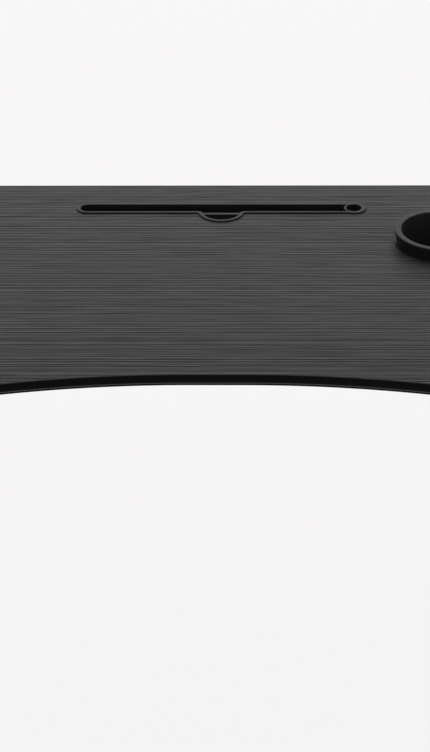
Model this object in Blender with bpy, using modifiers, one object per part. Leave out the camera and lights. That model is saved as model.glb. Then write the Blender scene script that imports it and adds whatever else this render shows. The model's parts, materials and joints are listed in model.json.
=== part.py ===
"""Foldable lap desk: a laminated top with a moulded tablet slot and a cup well,
on two steel legs that swing inwards until they lie in clips under the top.

X runs to the user's right, Y away from the user and Z up. The origin lies on
the floor below the middle of the desktop. Lengths are metres.
"""

import math

import bmesh
import bpy
from mathutils import Matrix, Vector

MM = 0.001

# Clearance between pieces that touch, and values that only serve the modelling
FIT_GAP = 0.3 * MM
CUT_OVERRUN = 2 * MM
WELD_DISTANCE = 0.005 * MM
SMOOTH_BELOW = math.radians(32)

# Desktop, seen from above
DESK_WIDTH = 600 * MM
DESK_DEPTH = 400 * MM
CORNER_RADIUS = 30 * MM
FRONT_FLAT_HALF = 22 * MM
FRONT_HOLLOW_RADIUS = 760 * MM
FRONT_SHOULDER_RADIUS = 90 * MM
CORNER_SEGMENTS = 8
SHOULDER_SEGMENTS = 4
HOLLOW_SEGMENTS = 12

# Desktop, in section
DESK_THICKNESS = 10 * MM
LAMINATE_THICKNESS = 0.7 * MM
BAND_THICKNESS = 2 * MM
BAND_TOP_ROUND = 0.6 * MM
BAND_CHAMFER_IN = 1.6 * MM
BAND_CHAMFER_UP = 2 * MM
ROUND_SHARES = (0.0, 0.3, 1.0)

# Slot insert: a long trough, a half-moon cable notch in front and a pen hole at the right
INSERT_LENGTH = 275.2 * MM
INSERT_FROM_BACK = 53.5 * MM
SLOT_WIDTH = 14 * MM
RIM_WIDTH = 3.9 * MM
RIM_HEIGHT = 1.2 * MM
RIM_ROUND = 0.5 * MM
RIM_OVERHANG = 2 * MM
INSERT_DEPTH = 13.4 * MM
INSERT_FLOOR = 1.8 * MM
SLOT_LEAD_IN = 0.5 * MM
SLOT_DRAFT = 0.4 * MM
PEN_HOLE_RADIUS = 7.05 * MM
PEN_RING_BULGE = 1.2 * MM
PEN_DIVIDER_WALL = 2.5 * MM
NOTCH_FORWARD = 7.5 * MM
NOTCH_RADIUS = 22 * MM
NOTCH_RIM_WIDTH = 4.4 * MM
NOTCH_FILLET = 3 * MM
NOTCH_BAR_WIDTH = 3.5 * MM
NOTCH_BAR_DROP = 2 * MM
END_SEGMENTS = 12
FILLET_SEGMENTS = 3
NOTCH_SEGMENTS = 14
PEN_SEGMENTS = 16

# Snap barbs of the insert and of the cup holder, which catch under the board
BARB_REACH = 1.2 * MM
BARB_HEIGHT = 2.2 * MM
BARB_WIDTH = 8 * MM
BARB_ROOT = 0.8 * MM
INSERT_BARB_SHARES = (-0.72, -0.36, 0.36, 0.72)
CUP_BARBS = 3

# Cup holder, a turned well that hangs in the board from its raised ring
CUP_FROM_SIDE = 98.5 * MM
CUP_FROM_BACK = 122.5 * MM
CUP_INNER_RADIUS = 36.4 * MM
CUP_RING_WIDTH = 6 * MM
CUP_RING_HEIGHT = 12 * MM
CUP_RING_ROUND = 1.6 * MM
CUP_LIP_ROUND = 0.9 * MM
CUP_DEPTH = 56 * MM
CUP_TAPER = 3.9 * MM
CUP_WALL = 2 * MM
CUP_SKIRT_WALL = 2.2 * MM
CUP_FOOT_ROUND = 4 * MM
CUP_STEPS = 40

# Legs: two U frames of steel tube on pivots under the ends of the desktop
PIVOT_FROM_SIDE = 38 * MM
PIVOT_DROP = 14 * MM
UPRIGHT_FROM_EDGE = 50 * MM
FOLDED_BAR_FROM_MIDDLE = 16 * MM
LEG_SPLAY = math.radians(8)
TUBE_RADIUS = 8 * MM
TUBE_WALL = 1.2 * MM
TUBE_BEND_RADIUS = 35 * MM
TUBE_BEND_SEGMENTS = 5
TUBE_BEVEL_RESOLUTION = 6
TUBE_SIDES = 4 + 2 * TUBE_BEVEL_RESOLUTION

# Foot sleeves on the bar, flat where they stand
SLEEVE_WALL = 2.7 * MM
SLEEVE_LENGTH = 50 * MM
SLEEVE_FROM_UPRIGHT = 65 * MM
SLEEVE_END_ROUND = 1.4 * MM
SLEEVE_SOLE_DEPTH = 1 * MM
SLEEVE_STEPS = 16

# Knuckles, plugged and riveted into the tube ends
EYE_RADIUS = 9 * MM
EYE_WIDTH = 14 * MM
EYE_SIDES = 20
NECK_WIDTH = 16 * MM
NECK_EDGE_ROUND = 1.5 * MM
NECK_SEGMENTS = 2
NECK_LENGTH = 20 * MM
COLLAR_LENGTH = 4 * MM
SPIGOT_LENGTH = 24 * MM
SPIGOT_CHAMFER = 1 * MM
RIVET_FROM_COLLAR = 12 * MM

# Hinge pins and rivets
PIN_RADIUS = 3 * MM
PIN_HEAD_RADIUS = 5 * MM
PIN_HEAD_HEIGHT = 1.8 * MM
PIN_PEEN_RADIUS = 4.1 * MM
PIN_PEEN_HEIGHT = 1.3 * MM
RIVET_RADIUS = 1.5 * MM
RIVET_HEAD_RADIUS = 3 * MM
RIVET_HEAD_HEIGHT = 1.3 * MM
RIVET_PEEN_RADIUS = 2.4 * MM
RIVET_PEEN_HEIGHT = 0.9 * MM
PIN_STEPS = 12
RIVET_STEPS = 8
HEAD_CROWN_SHARE = 0.62

# Leg brackets: a plate, two cheeks, a stop wall and a gusset on each side
PLATE_THICKNESS = 4 * MM
PLATE_INWARD = 34 * MM
PLATE_OUTWARD = 22 * MM
PLATE_HALF_WIDTH = 24 * MM
PLATE_CORNER_RADIUS = 6 * MM
PLATE_EDGE_CHAMFER = 1 * MM
PLATE_CORNER_SEGMENTS = 3
CHEEK_THICKNESS = 5 * MM
CHEEK_RADIUS = 12 * MM
CHEEK_ROOT_INWARD = 19 * MM
CHEEK_SIDE_GAP = 0.4 * MM
CHEEK_SEGMENTS = 8
STOP_LENGTH = 17 * MM
STOP_FACE_LENGTH = 4 * MM
STOP_WALL = 3.7 * MM
GUSSET_THICKNESS = 2 * MM
GUSSET_REACH = 7.5 * MM
GUSSET_DROP = 13.5 * MM
GUSSET_INWARD = 10 * MM
SCREW_INWARD = 24 * MM
SCREW_OUTWARD = 12 * MM
SCREW_SIDEWAYS = 18 * MM

# Leg clips: saddles that the folded bars snap into
CLIP_CLEARANCE = 0.5 * MM
CLIP_JAW_WALL = 2.3 * MM
CLIP_JAW_DROP = 3.5 * MM
CLIP_JAW_FLARE = 0.8 * MM
CLIP_JAW_STRAIGHT = 1.6 * MM
CLIP_LENGTH = 16 * MM
CLIP_EAR_THICKNESS = 2.6 * MM
CLIP_EAR_REACH = 12 * MM
CLIP_EAR_ROUND = 3 * MM
CLIP_SCREW_FROM_SADDLE = 6 * MM
CLIP_SEGMENTS = 12

# Screws into the board
SCREW_RADIUS = 1.7 * MM
SCREW_HEAD_RADIUS = 3.6 * MM
SCREW_HEAD_HEIGHT = 2 * MM
SCREW_TIP = 1.2 * MM
SCREW_BITE = 6.2 * MM
PILOT_DEPTH = 7 * MM
SCREW_STEPS = 8

# Colour, roughness and metallic value of each finish
FINISHES = {
    "dark_board": ((0.045, 0.035, 0.028), 0.85, 0.0),
    "wood_grain_laminate": ((0.070, 0.070, 0.075), 0.45, 0.0),
    "edge_plastic": ((0.010, 0.010, 0.011), 0.45, 0.0),
    "moulded_plastic": ((0.012, 0.012, 0.013), 0.40, 0.0),
    "powder_coat": ((0.015, 0.015, 0.016), 0.50, 0.0),
    "zinc_steel": ((0.55, 0.55, 0.56), 0.35, 1.0),
    "soft_rubber": ((0.016, 0.016, 0.017), 0.80, 0.0),
}

# Places worked out from the sizes above
SLOT_HALF = SLOT_WIDTH / 2
RIM_HALF = SLOT_HALF + RIM_WIDTH
PEN_RING_RADIUS = RIM_HALF + PEN_RING_BULGE
PEN_X = INSERT_LENGTH / 2 - PEN_RING_RADIUS
INSERT_Y = DESK_DEPTH / 2 - INSERT_FROM_BACK
CUP_X = DESK_WIDTH / 2 - CUP_FROM_SIDE
CUP_Y = DESK_DEPTH / 2 - CUP_FROM_BACK
CUP_RING_RADIUS = CUP_INNER_RADIUS + CUP_RING_WIDTH
CUP_BODY_RADIUS = CUP_INNER_RADIUS + CUP_WALL
PIVOT_X = DESK_WIDTH / 2 - PIVOT_FROM_SIDE
UPRIGHT_Y = DESK_DEPTH / 2 - UPRIGHT_FROM_EDGE
LEG_LENGTH = PIVOT_X - FOLDED_BAR_FROM_MIDDLE
SLEEVE_RADIUS = TUBE_RADIUS + SLEEVE_WALL + FIT_GAP
FOOT_BAR_HEIGHT = SLEEVE_RADIUS - SLEEVE_SOLE_DEPTH
PIVOT_HEIGHT = FOOT_BAR_HEIGHT + LEG_LENGTH * math.cos(LEG_SPLAY)
UNDERSIDE = PIVOT_HEIGHT + PIVOT_DROP
DESKTOP = UNDERSIDE + DESK_THICKNESS
BOARD_TOP = DESKTOP - LAMINATE_THICKNESS - FIT_GAP
TUBE_START = NECK_LENGTH + COLLAR_LENGTH + FIT_GAP
TUBE_BORE_FLAT = TUBE_RADIUS * math.cos(math.pi / TUBE_SIDES) - TUBE_WALL
SPIGOT_RADIUS = TUBE_BORE_FLAT - FIT_GAP
RIVET_DROP = NECK_LENGTH + COLLAR_LENGTH + RIVET_FROM_COLLAR
PLATE_TOP = PIVOT_DROP - FIT_GAP
PLATE_BOTTOM = PLATE_TOP - PLATE_THICKNESS
RIB_TOP = PLATE_BOTTOM + PLATE_THICKNESS / 2
CHEEK_INNER = EYE_WIDTH / 2 + CHEEK_SIDE_GAP
CHEEK_OUTER = CHEEK_INNER + CHEEK_THICKNESS
PLATE_SCREW_PLACES = [(-SCREW_INWARD, -SCREW_SIDEWAYS), (-SCREW_INWARD, SCREW_SIDEWAYS),
                      (SCREW_OUTWARD, -SCREW_SIDEWAYS), (SCREW_OUTWARD, SCREW_SIDEWAYS)]
CLIP_SCREW_Y = CLIP_LENGTH / 2 + CLIP_SCREW_FROM_SADDLE
SIDES = {"left": -1, "right": 1}
ENDS = {"front": -1, "rear": 1}

COLLECTION_NAME = "foldable_lap_desk"
CUTTER_COLLECTION_NAME = "cutters"


def clear_scene():
    """Remove every object, so that the file holds only the desk."""
    for obj in list(bpy.data.objects):
        bpy.data.objects.remove(obj, do_unlink=True)


def new_collection(name):
    """A collection linked to the scene."""
    collection = bpy.data.collections.new(name)
    bpy.context.scene.collection.children.link(collection)
    return collection


def finish(name):
    """The material of one finish, made the first time it is asked for."""
    material = bpy.data.materials.get(name)
    if material is None:
        colour, roughness, metallic = FINISHES[name]
        material = bpy.data.materials.new(name)
        material.use_nodes = True
        shader = material.node_tree.nodes["Principled BSDF"]
        shader.inputs["Base Color"].default_value = (*colour, 1.0)
        shader.inputs["Roughness"].default_value = roughness
        shader.inputs["Metallic"].default_value = metallic
        material.diffuse_color = (*colour, 1.0)
    return material


def evaluated_mesh(obj):
    """The object's mesh with its modifiers applied and loose caps welded."""
    bpy.context.view_layer.update()
    graph = bpy.context.evaluated_depsgraph_get()
    mesh = bpy.data.meshes.new_from_object(obj.evaluated_get(graph))
    work = bmesh.new()
    work.from_mesh(mesh)
    bmesh.ops.remove_doubles(work, verts=work.verts, dist=WELD_DISTANCE)
    bmesh.ops.recalc_face_normals(work, faces=work.faces)
    work.to_mesh(mesh)
    work.free()
    return mesh


def object_from(name, mesh, matrix=None):
    """A mesh object in the scene, for shaping."""
    obj = bpy.data.objects.new(name, mesh)
    bpy.context.scene.collection.objects.link(obj)
    obj.matrix_world = matrix or Matrix.Identity(4)
    return obj


def settle(obj):
    """Apply the object's modifiers and place to its mesh, and drop the pieces it was cut with."""
    tools = [modifier.object for modifier in obj.modifiers if modifier.type == "BOOLEAN"]
    mesh = evaluated_mesh(obj)
    mesh.transform(obj.matrix_world)
    name = obj.name
    for used in tools + [obj]:
        bpy.data.objects.remove(used, do_unlink=True)
    return object_from(name, mesh)


def arc(centre, radius, start, end, segments):
    """Points along an arc, from one angle in degrees to another."""
    angles = [math.radians(start + (end - start) * i / segments) for i in range(segments + 1)]
    return [(centre[0] + radius * math.cos(a), centre[1] + radius * math.sin(a)) for a in angles]


def joined(*runs):
    """One closed outline from runs of points, without repeated points."""
    outline = []
    for point in (point for run in runs for point in run):
        if not outline or math.dist(point, outline[-1]) > WELD_DISTANCE:
            outline.append(point)
    if math.dist(outline[0], outline[-1]) <= WELD_DISTANCE:
        outline.pop()
    return outline


def circle(centre, radius, sides):
    """A closed round outline."""
    return joined(arc(centre, radius, 0, 360, sides))


def rounded_rectangle(low, high, radius, segments, inset=0.0):
    """A closed outline between two corners, with round corners, drawn in by inset."""
    left, front = low[0] + radius, low[1] + radius
    right, rear = high[0] - radius, high[1] - radius
    corner = radius - inset
    return joined(arc((left, front), corner, 180, 270, segments),
                  arc((right, front), corner, 270, 360, segments),
                  arc((right, rear), corner, 0, 90, segments),
                  arc((left, rear), corner, 90, 180, segments))


def bore_radius(radius, sides):
    """Corner radius of a faceted bore whose flats just clear a round of the given radius."""
    return radius / math.cos(math.pi / sides)


def prism(name, outlines, bottom, top):
    """A flat shape with straight sides; outlines after the first are holes through it."""
    curve = bpy.data.curves.new(name, "CURVE")
    curve.dimensions = "2D"
    curve.fill_mode = "BOTH"
    curve.extrude = (top - bottom) / 2
    for outline in outlines:
        spline = curve.splines.new("POLY")
        spline.points.add(len(outline) - 1)
        for point, (x, y) in zip(spline.points, outline):
            point.co = (x, y, 0.0, 1.0)
        spline.use_cyclic_u = True
    obj = object_from(name, curve, Matrix.Translation((0, 0, (top + bottom) / 2)))
    return settle(obj)


def lofted(name, rings, closed=False):
    """A solid through outlines of equal point count, each a pair of outline and height."""
    work = bmesh.new()
    loops = [[work.verts.new((x, y, z)) for x, y in outline] for outline, z in rings]
    pairs = list(zip(loops, loops[1:]))
    if closed:
        pairs.append((loops[-1], loops[0]))
    else:
        work.faces.new(loops[0])
        work.faces.new(loops[-1])
    for lower, upper in pairs:
        for i in range(len(lower)):
            j = (i + 1) % len(lower)
            work.faces.new((lower[i], lower[j], upper[j], upper[i]))
    bmesh.ops.recalc_face_normals(work, faces=work.faces)
    mesh = bpy.data.meshes.new(name)
    work.to_mesh(mesh)
    work.free()
    return object_from(name, mesh)


def turned(name, profile, steps, closed=False):
    """A turned solid: a profile of radius and height, swept round the Z axis."""
    mesh = bpy.data.meshes.new(name)
    edges = [(i, i + 1) for i in range(len(profile) - 1)]
    if closed:
        edges.append((len(profile) - 1, 0))
    mesh.from_pydata([(radius, 0.0, height) for radius, height in profile], edges, [])
    obj = object_from(name, mesh)
    screw = obj.modifiers.new("turn", "SCREW")
    screw.axis = "Z"
    screw.steps = steps
    screw.render_steps = steps
    screw.use_merge_vertices = True
    screw.merge_threshold = WELD_DISTANCE
    return settle(obj)


def block(name, low, high):
    """A box between two corners."""
    work = bmesh.new()
    bmesh.ops.create_cube(work, size=1)
    low, high = Vector(low), Vector(high)
    place_it = Matrix.Translation((low + high) / 2) @ Matrix.Diagonal(high - low).to_4x4()
    bmesh.ops.transform(work, matrix=place_it, verts=work.verts)
    mesh = bpy.data.meshes.new(name)
    work.to_mesh(mesh)
    work.free()
    return object_from(name, mesh)


def rod(name, radius, length, centre, axis, sides):
    """A cylinder about its centre, along axis X, Y or Z."""
    work = bmesh.new()
    bmesh.ops.create_cone(work, cap_ends=True, segments=sides, radius1=radius, radius2=radius,
                          depth=length)
    turn = {"X": Matrix.Rotation(math.pi / 2, 4, "Y"),
            "Y": Matrix.Rotation(math.pi / 2, 4, "X"),
            "Z": Matrix.Identity(4)}[axis]
    bmesh.ops.transform(work, matrix=Matrix.Translation(centre) @ turn, verts=work.verts)
    mesh = bpy.data.meshes.new(name)
    work.to_mesh(mesh)
    work.free()
    return object_from(name, mesh)


def boolean(obj, tool, operation):
    """Join a tool to the object or cut it away."""
    modifier = obj.modifiers.new(tool.name, "BOOLEAN")
    modifier.operation = operation
    modifier.solver = "EXACT"
    modifier.object = tool


def cut(obj, *tools):
    """Cut tools out of the object."""
    for tool in tools:
        boolean(obj, tool, "DIFFERENCE")


def join(obj, *tools):
    """Join tools to the object as one solid."""
    for tool in tools:
        boolean(obj, tool, "UNION")


def lay_on_side(obj):
    """Turn a shape that was drawn flat so that its drawing stands in the XZ plane."""
    obj.data.transform(Matrix.Rotation(math.pi / 2, 4, "X"))
    return obj


def turn_to_y(obj):
    """Turn a shape that was made about Z so that it lies along Y."""
    obj.data.transform(Matrix.Rotation(-math.pi / 2, 4, "X"))
    return obj


def take_mesh(obj, name):
    """The settled mesh of a shape, whose object is removed."""
    shape = settle(obj)
    mesh = shape.data
    mesh.name = name
    bpy.data.objects.remove(shape, do_unlink=True)
    return mesh


def place(name, mesh, material, collection, location=(0, 0, 0), turn_z=0.0, parent=None):
    """Put a finished piece in the desk's collection."""
    obj = bpy.data.objects.new(name, mesh)
    collection.objects.link(obj)
    if not mesh.materials:
        mesh.materials.append(finish(material))
    mesh.shade_smooth()
    mesh.set_sharp_from_angle(angle=SMOOTH_BELOW)
    obj.location = location
    obj.rotation_euler = (0, 0, turn_z)
    obj.parent = parent
    return obj


def grouped(name, mesh, places):
    """One mesh that holds a copy of another at each place."""
    work = bmesh.new()
    for matrix in places:
        start = len(work.verts)
        work.from_mesh(mesh)
        work.verts.ensure_lookup_table()
        bmesh.ops.transform(work, matrix=matrix, verts=work.verts[start:])
    group = bpy.data.meshes.new(name)
    work.to_mesh(group)
    work.free()
    return group


def desk_outline(inset):
    """Outline of the desktop drawn in by inset: a hollow front between two shoulders."""
    corner_x = DESK_WIDTH / 2 - CORNER_RADIUS
    corner_y = DESK_DEPTH / 2 - CORNER_RADIUS
    radii = FRONT_HOLLOW_RADIUS + FRONT_SHOULDER_RADIUS
    swing = math.asin((corner_x - FRONT_FLAT_HALF) / radii)
    middle_y = radii * (1 - math.cos(swing)) - DESK_DEPTH / 2
    hollow_y = middle_y - FRONT_HOLLOW_RADIUS
    shoulder_y = FRONT_SHOULDER_RADIUS - DESK_DEPTH / 2
    degrees = math.degrees(swing)
    corner = CORNER_RADIUS - inset
    shoulder = FRONT_SHOULDER_RADIUS - inset
    hollow = FRONT_HOLLOW_RADIUS + inset
    return joined(
        arc((-corner_x, -corner_y), corner, 180, 270, CORNER_SEGMENTS),
        arc((-corner_x, shoulder_y), shoulder, 270, 270 + degrees, SHOULDER_SEGMENTS),
        arc((-FRONT_FLAT_HALF, hollow_y), hollow, 90 + degrees, 90, HOLLOW_SEGMENTS),
        arc((FRONT_FLAT_HALF, hollow_y), hollow, 90, 90 - degrees, HOLLOW_SEGMENTS),
        arc((corner_x, shoulder_y), shoulder, 270 - degrees, 270, SHOULDER_SEGMENTS),
        arc((corner_x, -corner_y), corner, 270, 360, CORNER_SEGMENTS),
        arc((corner_x, corner_y), corner, 0, 90, CORNER_SEGMENTS),
        arc((-corner_x, corner_y), corner, 90, 180, CORNER_SEGMENTS))


def insert_outline(inset, at=(0, 0)):
    """Outline of the insert's rim drawn in by inset: slot, half-moon and pen ring."""
    half = RIM_HALF - inset
    fillet_y = RIM_HALF + NOTCH_FILLET - NOTCH_FORWARD
    fillet_x = math.sqrt((NOTCH_RADIUS + NOTCH_FILLET) ** 2 - fillet_y ** 2)
    lean = math.degrees(math.atan2(fillet_y, fillet_x))
    ring = PEN_RING_RADIUS - inset
    meet = math.degrees(math.asin(half / ring))
    left_end = (RIM_HALF - INSERT_LENGTH / 2, 0)
    fillet = NOTCH_FILLET + inset
    outline = joined(
        arc(left_end, half, 90, 270, END_SEGMENTS),
        arc((-fillet_x, -RIM_HALF - NOTCH_FILLET), fillet, 90, lean, FILLET_SEGMENTS),
        arc((0, -NOTCH_FORWARD), NOTCH_RADIUS - inset, 180 + lean, 360 - lean, NOTCH_SEGMENTS),
        arc((fillet_x, -RIM_HALF - NOTCH_FILLET), fillet, 180 - lean, 90, FILLET_SEGMENTS),
        arc((PEN_X, 0), ring, 180 + meet, 540 - meet, PEN_SEGMENTS))
    return [(x + at[0], y + at[1]) for x, y in outline]


def slot_outline(inset):
    """Outline of the tablet slot: round at the left, hollowed by the pen ring at the right."""
    half = SLOT_HALF - inset
    ring = PEN_HOLE_RADIUS + PEN_DIVIDER_WALL + inset
    meet = math.degrees(math.asin(half / ring))
    left_end = (RIM_WIDTH + SLOT_HALF - INSERT_LENGTH / 2, 0)
    return joined(
        arc(left_end, half, 90, 270, END_SEGMENTS),
        arc((PEN_X, 0), ring, 180 + meet, 180 - meet, FILLET_SEGMENTS * 2))


def notch_outline(inset, chord):
    """Outline of the half-moon opening below a chord, which is a distance from the slot."""
    radius = NOTCH_RADIUS - NOTCH_RIM_WIDTH - inset
    drop = math.degrees(math.asin((chord - NOTCH_FORWARD + inset) / radius))
    return joined(arc((0, -NOTCH_FORWARD), radius, 180 + drop, 360 - drop, NOTCH_SEGMENTS))


def cutout_outline(inset):
    """A cut-out for the insert, drawn in from its rim by inset and out again by the clearance."""
    return insert_outline(inset - FIT_GAP, (0, INSERT_Y))


def cup_hole_outline(radius):
    """A hole round the cup holder where it has the given radius."""
    return circle((CUP_X, CUP_Y), bore_radius(radius + FIT_GAP, CUP_STEPS), CUP_STEPS)


def screw_places():
    """Where screws enter the board, as points on its underside."""
    places = []
    for side in SIDES.values():
        for end in ENDS.values():
            for x, y in PLATE_SCREW_PLACES:
                places.append((side * (PIVOT_X + x), end * UPRIGHT_Y + y))
        for end in ENDS.values():
            places.append((side * FOLDED_BAR_FROM_MIDDLE, end * CLIP_SCREW_Y))
    return places


def make_board(collection, cutters):
    """Core board with the two cut-outs and blind pilot holes for the screws."""
    outlines = [desk_outline(BAND_THICKNESS + FIT_GAP), cutout_outline(RIM_OVERHANG),
                cup_hole_outline(CUP_BODY_RADIUS)]
    mesh = take_mesh(prism("board", outlines, UNDERSIDE, BOARD_TOP), "desktop_board")
    board = place("desktop_board", mesh, "dark_board", collection)
    radius = bore_radius(SCREW_RADIUS + FIT_GAP, SCREW_STEPS)
    pilot = take_mesh(rod("pilot", radius, PILOT_DEPTH * 2, (0, 0, UNDERSIDE), "Z", SCREW_STEPS),
                      "pilot_hole")
    holes = grouped("pilot_holes", pilot, [Matrix.Translation((x, y, 0)) for x, y in screw_places()])
    cutter = bpy.data.objects.new("pilot_holes", holes)
    cutters.objects.link(cutter)
    cutter.hide_render = True
    cutter.display_type = "WIRE"
    cut(board, cutter)


def make_laminate(collection):
    """Wood-grain sheet that covers the board and stops at the insert's rim and the cup's ring."""
    outlines = [desk_outline(BAND_THICKNESS + FIT_GAP), cutout_outline(0),
                cup_hole_outline(CUP_RING_RADIUS)]
    sheet = prism("laminate", outlines, DESKTOP - LAMINATE_THICKNESS, DESKTOP)
    place("top_laminate", take_mesh(sheet, "top_laminate"), "wood_grain_laminate", collection)


def make_edge_band(collection):
    """Edge moulding: rounded above, chamfered below."""
    edge = [(BAND_TOP_ROUND * other, DESKTOP - BAND_TOP_ROUND * share)
            for share, other in zip(ROUND_SHARES, reversed(ROUND_SHARES))]
    section = ([(BAND_THICKNESS, UNDERSIDE), (BAND_THICKNESS, DESKTOP)] + edge
               + [(0, UNDERSIDE + BAND_CHAMFER_UP), (BAND_CHAMFER_IN, UNDERSIDE)])
    band = lofted("band", [(desk_outline(inset), z) for inset, z in section], closed=True)
    place("edge_band", take_mesh(band, "edge_band"), "edge_plastic", collection)


def make_slot_insert(collection):
    """Moulded tablet slot with its cable notch and pen hole, snapped into the board."""
    edge = [(RIM_ROUND * share, RIM_HEIGHT - RIM_ROUND * other)
            for share, other in zip(ROUND_SHARES, reversed(ROUND_SHARES))]
    section = ([(RIM_OVERHANG, -INSERT_DEPTH), (RIM_OVERHANG, -LAMINATE_THICKNESS),
                (0, -LAMINATE_THICKNESS)] + edge)
    body = lofted("insert", [(insert_outline(inset), z) for inset, z in section])
    floor = INSERT_FLOOR - INSERT_DEPTH
    over = RIM_HEIGHT + CUT_OVERRUN
    opening = [(SLOT_DRAFT, floor), (0, RIM_HEIGHT - SLOT_LEAD_IN), (-SLOT_LEAD_IN, RIM_HEIGHT),
               (-SLOT_LEAD_IN, over)]
    slot = lofted("slot", [(slot_outline(inset), z) for inset, z in opening])
    pen = lofted("pen", [(circle((PEN_X, 0), PEN_HOLE_RADIUS - inset, PEN_SEGMENTS), z)
                         for inset, z in opening])
    chord = SLOT_HALF + NOTCH_BAR_WIDTH
    notch = lofted("notch", [(notch_outline(0, chord), -INSERT_DEPTH - CUT_OVERRUN),
                             (notch_outline(0, chord), over)])
    relief = prism("relief", [notch_outline(0, SLOT_HALF - SLOT_DRAFT)],
                   RIM_HEIGHT - NOTCH_BAR_DROP, over)
    join(body, *insert_barbs())
    cut(body, slot, pen, notch, relief)
    place("slot_insert", take_mesh(body, "slot_insert"), "moulded_plastic", collection,
          (0, INSERT_Y, DESKTOP))


def barb(name, root, height):
    """A snap barb that points along X: a wedge with a flat top, from a root at its back."""
    top = height - DESK_THICKNESS - FIT_GAP
    outline = [(root - BARB_ROOT, top), (root + BARB_REACH, top), (root, top - BARB_HEIGHT),
               (root - BARB_ROOT, top - BARB_HEIGHT)]
    wedge = prism(name, [outline], -BARB_WIDTH / 2, BARB_WIDTH / 2)
    return lay_on_side(wedge)


def insert_barbs():
    """Snap barbs along both long sides of the insert."""
    barbs = []
    for side in (-1, 1):
        for i, share in enumerate(INSERT_BARB_SHARES):
            wedge = barb(f"insert_barb_{side}_{i}", RIM_HALF - RIM_OVERHANG, 0)
            turn = Matrix.Rotation(side * math.pi / 2, 4, "Z")
            wedge.matrix_world = Matrix.Translation((share * INSERT_LENGTH / 2, 0, 0)) @ turn
            barbs.append(wedge)
    return barbs


def cup_profile():
    """Section of the cup holder, from the floor up the inside and down the outside."""
    floor = CUP_RING_HEIGHT - CUP_DEPTH
    foot = CUP_INNER_RADIUS - CUP_TAPER
    under = CUP_RING_HEIGHT - CUP_SKIRT_WALL
    skirt = CUP_RING_RADIUS - CUP_SKIRT_WALL
    return ([(0, floor), (foot - CUP_FOOT_ROUND, floor), (foot, floor + CUP_FOOT_ROUND),
             (CUP_INNER_RADIUS, -DESK_THICKNESS)]
            + ring_edge()
            + [(CUP_RING_RADIUS, -LAMINATE_THICKNESS), (skirt, -LAMINATE_THICKNESS), (skirt, under),
               (CUP_BODY_RADIUS, under), (CUP_BODY_RADIUS, -DESK_THICKNESS),
               (foot + CUP_WALL, floor + CUP_FOOT_ROUND), (foot - CUP_FOOT_ROUND, floor - CUP_WALL),
               (0, floor - CUP_WALL)])


def ring_edge():
    """Rounded inner lip and outer edge of the cup's raised ring."""
    rounds = list(zip(ROUND_SHARES, reversed(ROUND_SHARES)))
    lip = [(CUP_INNER_RADIUS + CUP_LIP_ROUND * share, CUP_RING_HEIGHT - CUP_LIP_ROUND * other)
           for share, other in rounds]
    edge = [(CUP_RING_RADIUS - CUP_RING_ROUND * other, CUP_RING_HEIGHT - CUP_RING_ROUND * share)
            for share, other in rounds]
    return lip + edge


def make_cup_holder(collection):
    """Cup well with its raised ring, snapped into the board."""
    well = turned("cup", cup_profile(), CUP_STEPS)
    for i in range(CUP_BARBS):
        wedge = barb(f"cup_barb_{i}", CUP_BODY_RADIUS, 0)
        wedge.matrix_world = Matrix.Rotation(2 * math.pi * i / CUP_BARBS, 4, "Z")
        join(well, wedge)
    place("cup_holder", take_mesh(well, "cup_holder"), "moulded_plastic", collection,
          (CUP_X, CUP_Y, DESKTOP))


def plate_outline(inset):
    """Outline of a bracket plate, which reaches further inwards than outwards."""
    return rounded_rectangle((-PLATE_INWARD, -PLATE_HALF_WIDTH), (PLATE_OUTWARD, PLATE_HALF_WIDTH),
                             PLATE_CORNER_RADIUS, PLATE_CORNER_SEGMENTS, inset)


def stop_points():
    """Side view of the stop wall: its lower inner face lies along the splayed leg."""
    face = NECK_WIDTH / 2 + FIT_GAP
    low = -STOP_LENGTH
    high = STOP_FACE_LENGTH - STOP_LENGTH
    lean = [(face - z * math.sin(LEG_SPLAY)) / math.cos(LEG_SPLAY) for z in (high, low)]
    outer = lean[0] + STOP_WALL
    return [(lean[0], RIB_TOP), (lean[0], high), (lean[1], low), (outer, low), (outer, RIB_TOP)]


def cheek_outline():
    """Side view of a cheek: round below the pin, widening inwards to the plate."""
    root = (-CHEEK_ROOT_INWARD, RIB_TOP)
    tangent = math.atan2(root[1], root[0]) + math.acos(CHEEK_RADIUS / math.hypot(*root))
    top = (NECK_WIDTH / 2 + STOP_WALL, RIB_TOP)
    return joined([root],
                  arc((0, 0), CHEEK_RADIUS, math.degrees(tangent), 360, CHEEK_SEGMENTS),
                  [(top[0], 0), top])


def gusset_outline():
    """Triangular rib between a cheek and the plate, seen along X."""
    inner = CHEEK_OUTER - CHEEK_THICKNESS / 2
    low = RIB_TOP - GUSSET_DROP
    return [(inner, RIB_TOP), (inner, low), (CHEEK_OUTER, low), (CHEEK_OUTER + GUSSET_REACH, RIB_TOP)]


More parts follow.
